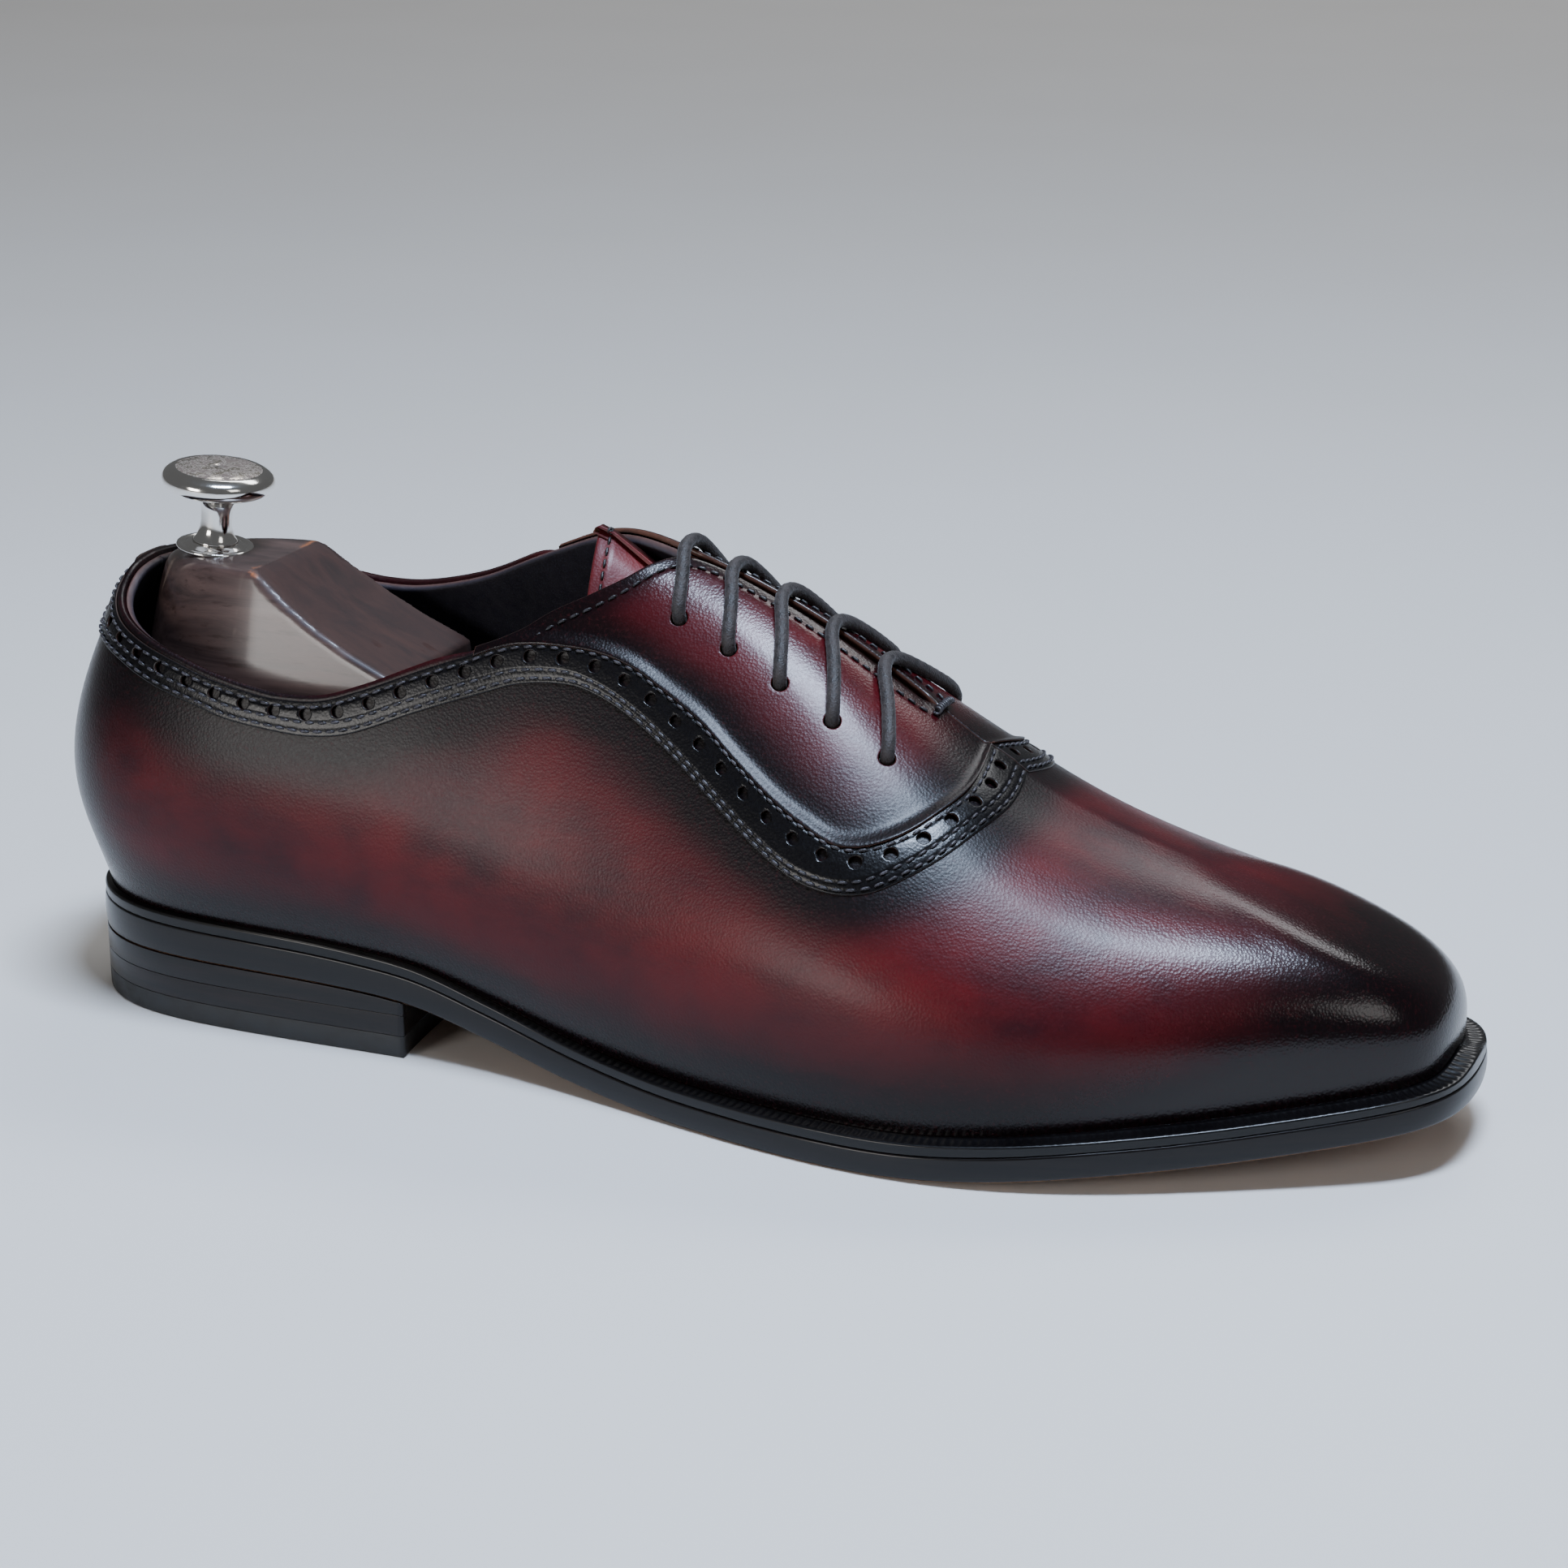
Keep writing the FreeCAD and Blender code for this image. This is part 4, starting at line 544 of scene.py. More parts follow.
def leather_sheet(name, place, height, depth, column_marks, row_marks, steps, holes=(), radius=0.0,
                  block=2.3):
    """Closed leather sheet on the last, with rounded edges and punched holes.

    place(u, v) gives (s, t); height and depth give the offsets of its two faces from the last.
    """
    along = along_length(place)
    u = fractions(along, *column_marks, steps[0])[0]
    across = cross_length(place, u)
    v = fractions(across, *row_marks, steps[1])
    index = np.arange(v.size).reshape(v.shape)
    kept = np.ones((v.shape[0] - 1, v.shape[1] - 1), bool)
    uv = [np.stack([np.broadcast_to(u[:, None], v.shape), v], -1).reshape(-1, 2)]
    rim = [np.full(v.size, FAR)]
    hole_quads, hole_loops = [], []
    total = v.size
    for hole in holes:
        border, rings = hole_rings(place, u, v, hole, radius, block)
        (i0, j0), (i1, j1) = border.min(0), border.max(0)
        kept[i0:i1, j0:j1] = False
        numbers = [index[border[:, 0], border[:, 1]]]
        for ring_uv, ring_rim in rings:
            uv.append(ring_uv)
            rim.append(ring_rim)
            numbers.append(np.arange(total, total + len(border)))
            total += len(border)
        numbers = np.array(numbers)
        hole_quads.append(grid_quads(np.hstack([numbers, numbers[:, :1]])[::-1]))
        hole_loops.append(numbers[-1])

    uv = np.concatenate(uv)
    rim = np.concatenate(rim)
    d = Distances(uv[:, 0], uv[:, 1], np.interp(uv[:, 0], u, across), along)
    st = place(uv[:, :1], uv[:, 1:])[:, 0]
    base, normal = points_at(st), last_normals(st[:, 0], st[:, 1])
    top = height(d) - rounding(rim, CUT_ROUNDING)
    points = np.concatenate([base + normal * top[:, None], base + normal * depth(d)[:, None]])

    face = np.concatenate([grid_quads(index).reshape(*kept.shape, 4)[kept]] + hole_quads)
    border = np.concatenate([index[:-1, 0], index[-1, :-1], index[:0:-1, -1], index[0, :0:-1]])
    quads = [face, face[:, ::-1] + total]
    for loop in [border] + [hole_loop[::-1] for hole_loop in hole_loops]:
        following = np.roll(loop, -1)
        quads.append(np.stack([following, loop, loop + total, following + total], -1))
    quads = np.concatenate(quads)
    used = np.zeros(2 * total, bool)
    used[quads.ravel()] = True
    number = np.cumsum(used) - 1
    points, quads = points[used], number[quads]
    obj = mesh_object(name, points, outward(points, quads))
    nearest = np.minimum.reduce([d.low, d.high, d.start, d.end, rim])
    raw = np.clip(1 - nearest / CUT_ROUNDING, 0, 1)
    set_attribute(obj, "raw", np.concatenate([raw, raw])[used])
    return obj


def turned_ring(angle, first, second):
    """Unit circle in the plane of two directions."""
    return np.cos(angle)[:, None] * first[..., None, :] + np.sin(angle)[:, None] * second[..., None, :]


def tube(name, centres, radius, sides, twist=lambda distance, angle: np.ones(angle.shape)):
    """Closed tube of round section along a smooth line; twist(distance, angle) scales its radius."""
    centres = np.asarray(centres, float)
    tangents = unit(np.gradient(centres, axis=0))
    frames = [unit(np.cross(tangents[0], [0.3, 0.2, 1.0]))]
    for tangent in tangents[1:]:
        previous = frames[-1]
        frames.append(unit(previous - tangent * (previous @ tangent)))
    side = np.array(frames)
    angle = np.linspace(0, 2 * math.pi, sides, endpoint=False)
    size = radius * twist(running_length(centres)[:, None], angle[None])
    rings = turned_ring(angle, side, np.cross(tangents, side)) * size[..., None]
    return ring_mesh(name, centres[:, None] + rings, flat_ends=True)


def turned(name, outline, centre, axis, sides=96):
    """Closed turned piece from (radius, height) points along an axis."""
    side = unit(np.cross(axis, [0.0, 1.0, 0.0]))
    angle = np.linspace(0, 2 * math.pi, sides, endpoint=False)
    circle = turned_ring(angle, side, np.cross(axis, side))
    rings = [centre + circle * radius + axis * height for radius, height in outline]
    return ring_mesh(name, rings, joined=True)


# ---------------------------------------------------------------- stitches

STITCH_PITCH = 2.8
STITCH_LENGTH = 2.2
THREAD_RADIUS = 0.3
PLY_PITCH = 1.5


def stitch_template(rings=11, sides=8):
    """One twisted thread stitch along x whose ends dive into the leather."""
    place = np.linspace(-1, 1, rings)[:, None]
    angle = np.linspace(0, 2 * math.pi, sides, endpoint=False)[None]
    x = place * STITCH_LENGTH / 2
    ply = 1 + 0.16 * np.cos(2 * angle - 2 * math.pi * x / PLY_PITCH)
    size = THREAD_RADIUS * np.sqrt(np.clip(1 - np.abs(place) ** 6, 0.05, 1)) * ply
    dive = 0.16 - 0.62 * place ** 4
    return ring_faces(np.stack([x + 0 * angle, size * np.cos(angle), size * np.sin(angle) + dive], -1))


def stitches(name, rows):
    """One mesh of all the stitches of several rows; a row is (places, offset)."""
    centres, along, up = [], [], []
    for st, offset in rows:
        line = leather_points(st[:, 0], st[:, 1], np.full(len(st), offset))
        marks = running_length(line)
        count = max(1, int(round(marks[-1] / STITCH_PITCH)))
        places = (np.arange(count) + 0.5) * marks[-1] / count
        centres.append(at_marks(places, marks, line))
        ahead, behind = (at_marks(places + reach, marks, line) for reach in (0.8, -0.8))
        along.append(unit(ahead - behind))
        up.append(last_normals(*at_marks(places, marks, st).T))
    centres, along, up = (np.concatenate(part) for part in (centres, along, up))
    up = unit(up - along * np.einsum("ij,ij->i", up, along)[:, None])
    axes = np.stack([along, np.cross(up, along), up], 1)
    points, quads, ends = stitch_template()
    placed = centres[:, None] + np.einsum("pk,nkc->npc", points, axes)
    base = (np.arange(len(centres)) * len(points))[:, None, None]
    faces = (quads[None] + base).reshape(-1, 4).tolist()
    for start in base.ravel().tolist():
        faces += [[k + start for k in end] for end in ends]
    return mesh_object(name, placed.reshape(-1, 3), faces)


def strip_row(place, distance, from_low, u_start=0.0, u_end=1.0, count=700):
    """Places of a stitch row at a distance in mm from the low or the high edge of a sheet."""
    u = np.linspace(u_start, u_end, count)
    v = distance / cross_length(place, u)
    if not from_low:
        v = 1 - v
    return place(u[:, None], v[:, None])[:, 0]


# ---------------------------------------------------------------- materials

class Nodes:
    """Short names for building one Principled material."""

    def __init__(self, name):
        self.material = bpy.data.materials.new(name)
        self.material.use_nodes = True
        self.tree = self.material.node_tree
        self.shader = self.tree.nodes["Principled BSDF"]
        self.place = self.add("TexCoord").outputs["Object"]

    def put(self, value, socket):
        """Set a socket to a number, or join an output to it."""
        if isinstance(value, bpy.types.NodeSocket):
            self.tree.links.new(value, socket)
        else:
            socket.default_value = value

    def add(self, kind, *numbered, **named):
        """New node with inputs set or joined, by number or by name."""
        node = self.tree.nodes.new("ShaderNode" + kind)
        for i, value in enumerate(numbered):
            self.put(value, node.inputs[i])
        for name, value in named.items():
            self.put(value, node.inputs[name.replace("_", " ")])
        return node

    def stretched(self, scale):
        return self.add("Mapping", Scale=scale, Vector=self.place).outputs["Vector"]

    def noise(self, scale, detail=4.0, rough=0.55, vector=None, distortion=0.0):
        return self.add("TexNoise", Scale=scale, Detail=detail, Roughness=rough, Distortion=distortion,
                        Vector=vector or self.place).outputs["Fac"]

    def cells(self, scale):
        return self.add("TexVoronoi", Scale=scale, Vector=self.place).outputs["Distance"]

    def attribute(self, name):
        node = self.add("Attribute")
        node.attribute_name = name
        return node.outputs["Fac"]

    def math(self, operation, *values):
        node = self.add("Math", *values)
        node.operation = operation
        return node.outputs[0]

    def scaled(self, value, factor, plus):
        """value * factor + plus."""
        return self.math("MULTIPLY_ADD", value, factor, plus)

    def spread(self, value, low, high, out_low=0.0, out_high=1.0):
        node = self.add("MapRange", Value=value, From_Min=low, From_Max=high, To_Min=out_low, To_Max=out_high)
        node.interpolation_type = "SMOOTHSTEP"
        return node.outputs["Result"]

    def mix(self, factor, a, b):
        node = self.add("Mix", factor)
        node.data_type = "RGBA"
        self.put(a, node.inputs[6])
        self.put(b, node.inputs[7])
        return node.outputs[2]

    def bump(self, height, strength, distance, **before):
        """Bump of a texture; Normal=... puts it on top of another bump."""
        return self.add("Bump", Height=height, Strength=strength, Distance=distance, **before).outputs["Normal"]

    def set(self, **values):
        for name, value in values.items():
            self.put(value, self.shader.inputs[name.replace("_", " ")])

    def shade(self, texture, dark, light, tones, rough, shine=(0.3, 0.7)):
        """Colour and roughness that follow one texture, each over its own range of it."""
        self.set(Base_Color=self.mix(self.spread(texture, *tones), dark, light))
        self.set(Roughness=self.spread(texture, *shine, *rough))


def colour(red, green, blue):
    """Linear colour from display values 0 to 255."""
    def linear(value):
        value /= 255.0
        return value / 12.92 if value <= 0.04045 else ((value + 0.055) / 1.055) ** 2.4
    return (linear(red), linear(green), linear(blue), 1.0)


def calf(name, bright, deep, black, raw, rough, coat, grain=1.0):
    """Hand-burnished calf: patina clouds, dark burnish and painted shade under the punched holes, fine grain,
    bare cut edges.
    """
    n = Nodes(name)
    clouds = n.noise(26.0, 3.0, 0.6, distortion=0.4)
    brushed = n.noise(150.0, 5.0, 0.65, vector=n.stretched((0.35, 1.0, 1.0)))
    fine = n.noise(1500.0, 3.0, 0.6)
    pebbles = n.cells(1750.0)
    patina = n.scaled(brushed, 0.4, n.math("MULTIPLY", clouds, 0.75))
    base = n.mix(n.spread(patina, 0.35, 0.78), deep, bright)
    # Burnish darkens the patina towards black; under the strip's punched holes this darkening is painted shade,
    # so the holes look deep.
    burnish_and_hole_shade = n.scaled(n.math("SUBTRACT", brushed, 0.5), 0.55, n.attribute("burnish_and_hole_shade"))
    dark = n.mix(n.spread(burnish_and_hole_shade, 0.08, 0.92), base, black)
    speck = n.mix(n.spread(fine, 0.52, 0.78, 0.0, 0.20), dark, bright)
    raw_edge = n.attribute("raw")
    edge_colour = n.mix(n.noise(900.0), raw, colour(60, 38, 28))
    n.set(Base_Color=n.mix(n.spread(raw_edge, 0.55, 1.0, 0.0, 0.9), speck, edge_colour))
    polished = n.scaled(n.attribute("polish"), -0.22, rough)
    sheen = n.scaled(n.math("SUBTRACT", fine, 0.5), 0.22, polished)
    n.set(Roughness=n.scaled(raw_edge, 0.25, sheen))
    n.set(Coat_Weight=n.scaled(n.attribute("polish"), 0.26, coat))
    n.set(Coat_Roughness=0.2, Specular_IOR_Level=0.2)
    pebbled = n.bump(pebbles, 0.26 * grain, 0.00016)
    n.set(Normal=n.bump(fine, 0.14 * grain, 0.00012, Normal=pebbled))
    return n.material


def thread_material(name, dark, light):
    n = Nodes(name)
    n.shade(n.noise(1200.0, 2.0), dark, light, (0.3, 0.7), (0.36, 0.55))
    n.set(Normal=n.bump(n.noise(5200.0, 2.0), 0.25, 0.00008))
    return n.material


def lining_material():
    n = Nodes("lining_leather")
    base = n.mix(n.spread(n.noise(60.0, 4.0), 0.3, 0.7), colour(15, 15, 26), colour(26, 24, 36))
    edge = n.mix(n.noise(700.0), colour(96, 62, 50), colour(58, 34, 30))
    n.set(Base_Color=n.mix(n.attribute("raw"), base, edge))
    n.set(Roughness=n.spread(n.noise(400.0), 0.3, 0.7, 0.55, 0.72))
    n.set(Normal=n.bump(n.cells(1300.0), 0.18, 0.0002))
    return n.material


def lace_material():
    n = Nodes("waxed_cotton_lace")
    n.shade(n.noise(700.0, 3.0), colour(17, 12, 12), colour(46, 38, 36), (0.25, 0.75), (0.58, 0.74))
    n.set(Sheen_Weight=0.1, Sheen_Roughness=0.4, Normal=n.bump(n.cells(2600.0), 0.5, 0.0002))
    return n.material


def edge_ink(name, dark, light, rough, lines=0.0):
    """Inked and waxed leather edge of the soles and lifts, with faint layer lines."""
    n = Nodes(name)
    streak = n.noise(140.0, 5.0, 0.65, vector=n.stretched((0.3, 0.3, 6.0)))
    n.set(Base_Color=n.mix(n.spread(streak, 0.35, 0.75), dark, light))
    n.set(Roughness=n.scaled(n.noise(55.0, 3.0), 0.25, rough - 0.12), Specular_IOR_Level=0.2)
    n.set(Coat_Weight=0.3, Coat_Roughness=0.14)
    n.set(Normal=n.bump(streak, 0.12 + lines, 0.0002, Normal=n.bump(n.noise(1600.0), 0.12, 0.0001)))
    return n.material


def rubber_material():
    n = Nodes("heel_rubber")
    n.shade(n.noise(240.0, 4.0), colour(8, 7, 7), colour(18, 16, 15), (0.3, 0.7), (0.42, 0.62))
    n.set(Normal=n.bump(n.noise(1500.0), 0.15, 0.0001))
    return n.material


def sole_leather():
    n = Nodes("sole_leather")
    fibres = n.noise(160.0, 6.0, 0.7, vector=n.stretched((0.4, 1.0, 1.0)))
    n.shade(fibres, colour(92, 58, 36), colour(150, 104, 68), (0.3, 0.75), (0.5, 0.7))
    n.set(Normal=n.bump(fibres, 0.15, 0.0002, Normal=n.bump(n.noise(2200.0), 0.2, 0.0001)))
    return n.material


def plain_leather(name, light, dark, scale=300.0, rough=0.7):
    n = Nodes(name)
    n.shade(n.noise(scale, 5.0, 0.65), dark, light, (0.3, 0.72), (rough - 0.08, rough + 0.08))
    n.set(Normal=n.bump(n.cells(scale * 4), 0.25, 0.0002))
    return n.material


def cork_material():
    n = Nodes("ground_cork")
    crumbs = n.cells(520.0)
    n.shade(crumbs, colour(70, 42, 24), colour(176, 128, 80), (0.1, 0.6), (0.75, 0.9), shine=(0.1, 0.7))
    n.set(Normal=n.bump(crumbs, 0.5, 0.0005))
    return n.material


def wood(name, light, dark, varnish, rough, worn=None):
    """Carved wood with grain along x, varnish and fine scratches.

    With a worn colour it also has rubbed edges, a sawn bare front and an inked line round that front.
    """
    n = Nodes(name)
    grain = n.noise(95.0, 7.0, 0.7, vector=n.stretched((0.16, 1.0, 1.0)), distortion=0.8)
    pores = n.noise(900.0, 3.0, 0.6, vector=n.stretched((0.12, 1.0, 1.0)))
    base = n.mix(n.spread(grain, 0.3, 0.72), dark, light)
    base = n.mix(n.spread(pores, 0.56, 0.72, 0.0, 0.55), base, colour(34, 18, 12))
    scratch = n.noise(210.0, 2.0, 0.5, vector=n.stretched((0.5, 1.0, 0.06)), distortion=0.3)
    scuffs = n.spread(scratch, 0.66, 0.74)
    base = n.mix(n.math("MULTIPLY", scuffs, 0.35), base, colour(132, 112, 98))
    coat = varnish
    if worn is not None:
        line, front = n.attribute("line"), n.attribute("front")
        wear = n.scaled(n.math("SUBTRACT", n.noise(170.0, 5.0, 0.7), 0.5), 1.5, n.attribute("worn"))
        base = n.mix(n.spread(wear, 0.45, 0.75), base, worn)
        base = n.mix(line, base, colour(22, 24, 40))
        sawn = n.mix(n.spread(grain, 0.3, 0.72), colour(34, 19, 15), colour(56, 34, 27))
        base = n.mix(front, base, sawn)
        bare = n.math("MAXIMUM", front, line)
        coat = n.scaled(bare, -varnish, varnish)
        rough = n.scaled(bare, 0.42, rough)
        n.set(Specular_IOR_Level=0.3)
    n.set(Base_Color=base, Coat_Weight=coat, Coat_Roughness=0.2)
    n.set(Roughness=n.scaled(grain, 0.3, n.scaled(scuffs, 0.2, rough)))
    n.set(Normal=n.bump(scratch, 0.12, 0.0002, Normal=n.bump(grain, 0.12, 0.0002)))
    return n.material


def chrome(name, tint, rough, pitted):
    """Plated metal with fine scratches, and worn brown pitting where pitted is above 0."""
    n = Nodes(name)
    clouds = n.noise(420.0, 5.0, 0.7)
    specks = n.noise(1500.0, 4.0, 0.7)
    worn = n.spread(n.math("ADD", n.math("MULTIPLY", clouds, 0.6), n.math("MULTIPLY", specks, 0.4)),
                    0.47, 0.53, 0.0, pitted)
    n.set(Base_Color=n.mix(worn, tint, colour(64, 44, 34)))
    n.set(Metallic=n.math("SUBTRACT", 1.0, n.math("MULTIPLY", worn, 0.7)))
    n.set(Roughness=n.scaled(n.noise(800.0), 0.12, n.scaled(worn, 0.4, rough)))
    n.set(Normal=n.bump(specks, 0.06, 0.0001))
    return n.material


def floor_material():
    n = Nodes("pale_floor")
    n.set(Base_Color=n.mix(n.noise(3.0), colour(206, 203, 199), colour(212, 209, 205)))
    n.set(Roughness=n.spread(n.noise(8.0), 0.3, 0.7, 0.65, 0.72))
    return n.material


BURGUNDY = calf("burgundy_calf", colour(80, 13, 18), colour(38, 8, 15), colour(8, 2, 4),
                colour(98, 62, 50), 0.39, 0.06)
TONGUE_CALF = calf("tongue_calf", colour(108, 28, 28), colour(66, 16, 22), colour(14, 7, 9),
                   colour(128, 84, 66), 0.5, 0.12, grain=1.3)
BLACK_CALF = calf("black_calf", colour(12, 10, 13), colour(7, 6, 8), colour(4, 3, 4),
                  colour(16, 13, 14), 0.36, 0.08, grain=0.9)
THREAD = thread_material("waxed_thread", colour(20, 17, 20), colour(54, 50, 55))
DARK_THREAD = thread_material("dark_thread", colour(12, 9, 11), colour(30, 26, 29))
LINING = lining_material()
LACE = lace_material()
WELT_INK = edge_ink("welt_ink", colour(4, 3, 4), colour(11, 9, 10), 0.34)
SOLE_INK = edge_ink("sole_edge_ink", colour(5, 3, 4), colour(14, 8, 8), 0.32)
LIFT_INK = edge_ink("lift_ink", colour(9, 6, 6), colour(24, 15, 13), 0.36, lines=0.08)
RUBBER = rubber_material()
SOLE_LEATHER = sole_leather()
INSOLE_LEATHER = plain_leather("insole_leather", colour(176, 134, 96), colour(132, 94, 62))
SOCK_LEATHER = plain_leather("sock_leather", colour(44, 38, 44), colour(26, 22, 30))
STIFFENER = plain_leather("stiffener_board", colour(150, 132, 112), colour(112, 96, 80), 180.0, 0.85)
CORK = cork_material()
TREE_RED = wood("cedar_forepart", colour(112, 62, 46), colour(70, 38, 30), 0.15, 0.42)
TREE_DARK = wood("dark_varnished_block", colour(84, 64, 58), colour(40, 30, 29), 0.6, 0.18,
                 worn=colour(150, 88, 52))
STEEL = chrome("hinge_steel", (0.52, 0.51, 0.5, 1), 0.24, 0.3)
CHROME = chrome("knob_chrome", (0.74, 0.72, 0.69, 1), 0.06, 0.0)
KNOB_TOP = chrome("worn_knob_top", (0.80, 0.72, 0.62, 1), 0.16, 0.9)
BRASS = chrome("nail_brass", (0.72, 0.5, 0.22, 1), 0.24, 0.2)


def finish_piece(obj, material, nodes=(), body="shoe"):
    """Give a piece its material and its body, and hide the CAD nodes that it stands for."""
    if not obj.data.materials:
        obj.data.materials.append(material)
    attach(obj, body)
    if nodes:
        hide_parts(*nodes)


# ---------------------------------------------------------------- burnish of the calf, and painted shade under its punched holes

def search_tree(place, count=700):
    """Tree of points along one line of both sides, whose (s, t) are place(lines, u)."""
    u = np.linspace(0.0, 1.0, count)
    points = np.concatenate([points_at(place(PATTERNS[side], u)) for side in SIDES])
    tree = KDTree(len(points))
    for i, point in enumerate(points):
        tree.insert(point, i)
    tree.balance()
    return tree


def along_strip(share):
    """Line along the punched strip at a share of its width."""
    return lambda lines, u: between(lines["strip_low"].at(u), lines["strip_top"].at(u), np.full(len(u), share))


def distances_to(tree, points):
    return np.array([tree.find(point)[2] for point in points])


HOLE_ACROSS = 0.64
LOW_TREE = search_tree(along_strip(0.0))
TOP_TREE = search_tree(along_strip(1.0))
HOLE_TREE = search_tree(along_strip(HOLE_ACROSS))
OPENING_TREE = search_tree(lambda lines, u: lines["opening"].at(u), 500)


def fade(distance, width):
    return np.exp(-(np.clip(distance, 0, None) / width) ** 2)


def body_burnish_and_hole_shade(points):
    """Dark burnish of the quarters and vamp: beside the strip, low down, at heel and toe; and painted shade on
    the body under the strip's punched holes.
    """
    x, z = points[:, 0], points[:, 2]
    height = z - smooth_table(SOLE_TOP, x)
    strip = 0.95 * fade(distances_to(LOW_TREE, points), 9.0 + 5.0 * fade(x - 120, 45))
    low_width = lerp_table([(0, 15), (60, 13), (120, 15), (180, 19), (235, 17), (262, 22), (290, 34)], x)
    low = fade(height - 1.5, low_width)
    heel = 0.9 * fade(x - 4.0, 15.0)
    toe = 0.95 * np.clip((x - 246.0) / 42.0, 0, 1) ** 1.1
    # Painted shade: the body under each punched hole of the strip goes black, so that the holes look dark and
    # deep.
    holes = fade(distances_to(HOLE_TREE, points) - 2.2, 1.0)
    return 1 - (1 - strip) * (1 - low) * (1 - heel) * (1 - toe) * (1 - holes)


def polish_body(points):
    """Polish of the toe, the heel and the leather just above the welt."""
    x, z = points[:, 0], points[:, 2]
    toe = np.clip((x - 225.0) / 50.0, 0, 1)
    low = 0.7 * fade(z - smooth_table(SOLE_TOP, x), 10.0)
    return np.clip(toe + low + 0.5 * fade(x - 2.0, 12.0), 0, 1)


def burnish_facing(points):
    x = points[:, 0]
    lower_width = lerp_table([(60, 5), (100, 7), (130, 10), (200, 13)], x)
    upper_width = lerp_table([(60, 2), (110, 6), (150, 3.5)], x)
    lower = 0.95 * fade(distances_to(TOP_TREE, points), lower_width)
    upper = 0.75 * fade(distances_to(OPENING_TREE, points) - 1.0, upper_width)
    return 1 - (1 - lower) * (1 - upper)


def polish_facing(points):
    return 0.8 * fade(distances_to(OPENING_TREE, points), 16.0)


def paint(obj, burnish_and_hole_shade, polish):
    """Set the two attributes of the calf, each from a number or from a function of the points."""
    points = raw_points(obj)
    for name, value in (("burnish_and_hole_shade", burnish_and_hole_shade), ("polish", polish)):
        set_attribute(obj, name, value(points) if callable(value) else np.full(len(points), value))


# ---------------------------------------------------------------- upper

LEATHER = 1.6
STRIP_SKIVE = 0.55


def side_top(side, s):
    """Top of the body leather of one side, for places s given on the lateral scale."""
    lines = PATTERNS[side]
    place = own_s(lines, s)
    topline = height_on(lines["top"], place)
    strip = height_on(lines["strip_top"], place) - 0.002
    share = smoothstep(np.clip((s - 0.150) / 0.022, 0, 1))
    return np.where(s >= 0.3205, 1.0, topline * (1 - share) + strip * share)


def body_top(s):
    mirrored = np.minimum(s, 1 - s)
    return np.where(s <= 0.5, side_top("lateral", mirrored), side_top("medial", mirrored))


def under_strip(s, t):
    """How far the body leather is skived down under the punched strip."""
    place = np.minimum(s, 1 - s)
    low = np.where(s <= 0.5, height_on(PATTERNS["lateral"]["strip_low"], place),
                   height_on(PATTERNS["medial"]["strip_low"], 1 - place))
    inside = (t > low) & (place < STRIP_END)
    points = last_points(s, t)[inside]
    gap = np.minimum(distances_to(LOW_TREE, points), distances_to(TOP_TREE, points))
    near_hole = fade(distances_to(HOLE_TREE, points) - 2.0, 1.2)
    sink = np.zeros(s.shape)
    sink[inside] = STRIP_SKIVE * near_hole * np.clip((gap - 0.4) / 0.8, 0, 1)
    return sink


def make_upper_body(columns=820, outer_rows=96, inner_rows=8):
    s = np.arange(columns) / columns
    top = body_top(s)
    layers, indices, total = [], [], 0
    for rows, offset in ((outer_rows, 0.0), (inner_rows, -LEATHER)):
        t = top[:, None] * np.linspace(0, 1, rows)
        place = np.broadcast_to(s[:, None], t.shape)
        sink = under_strip(place, t) if offset == 0.0 else 0.0
        layers.append(leather_points(place, t, np.full(t.shape, offset) - sink).reshape(-1, 3))
        indices.append(np.arange(total, total + t.size).reshape(t.shape))
        total += t.size
    points = np.concatenate(layers)
    outer, inner = indices
    following = np.roll(np.arange(columns), -1)
    open_top = np.flatnonzero((top < 1.0) | (top[following] < 1.0))
    ahead = following[open_top]
    quads = np.concatenate([
        grid_quads(outer, wrap=True),
        grid_quads(inner, wrap=True)[:, ::-1],
        np.stack([outer[following, 0], outer[:, 0], inner[:, 0], inner[following, 0]], -1),
        np.stack([outer[open_top, -1], outer[ahead, -1], inner[ahead, -1], inner[open_top, -1]], -1),
    ])
    obj = mesh_object("upper_body", points, outward(points, quads))
    weld(obj)
    set_attribute(obj, "raw", np.zeros(len(obj.data.vertices)))
    paint(obj, body_burnish_and_hole_shade, polish_body)
    finish_piece(obj, BURGUNDY, ["upper_body"])


def find_on_sheet(place, s, t, samples=41, zooms=6):
    """The (u, v) of a sheet that lies nearest to a place on the last."""
    target = last_points(s, t)
    low, high = np.zeros(2), np.ones(2)
    for _ in range(zooms):
        u, v = np.meshgrid(*np.linspace(low, high, samples).T, indexing="ij")
        gap = np.linalg.norm(points_at(place(u, v)) - target, axis=-1)
        best = np.unravel_index(np.argmin(gap), gap.shape)
        found = np.array([u[best], v[best]])
        span = (high - low) / 16
        low, high = np.maximum(found - span, 0), np.minimum(found + span, 1)
    return found


def lace_holes(place, lines):
    return [find_on_sheet(place, own_s(lines, s), t) for s, t in EYELETS]


FACING_START = 0.161
RIDGE_SHARE = 0.8


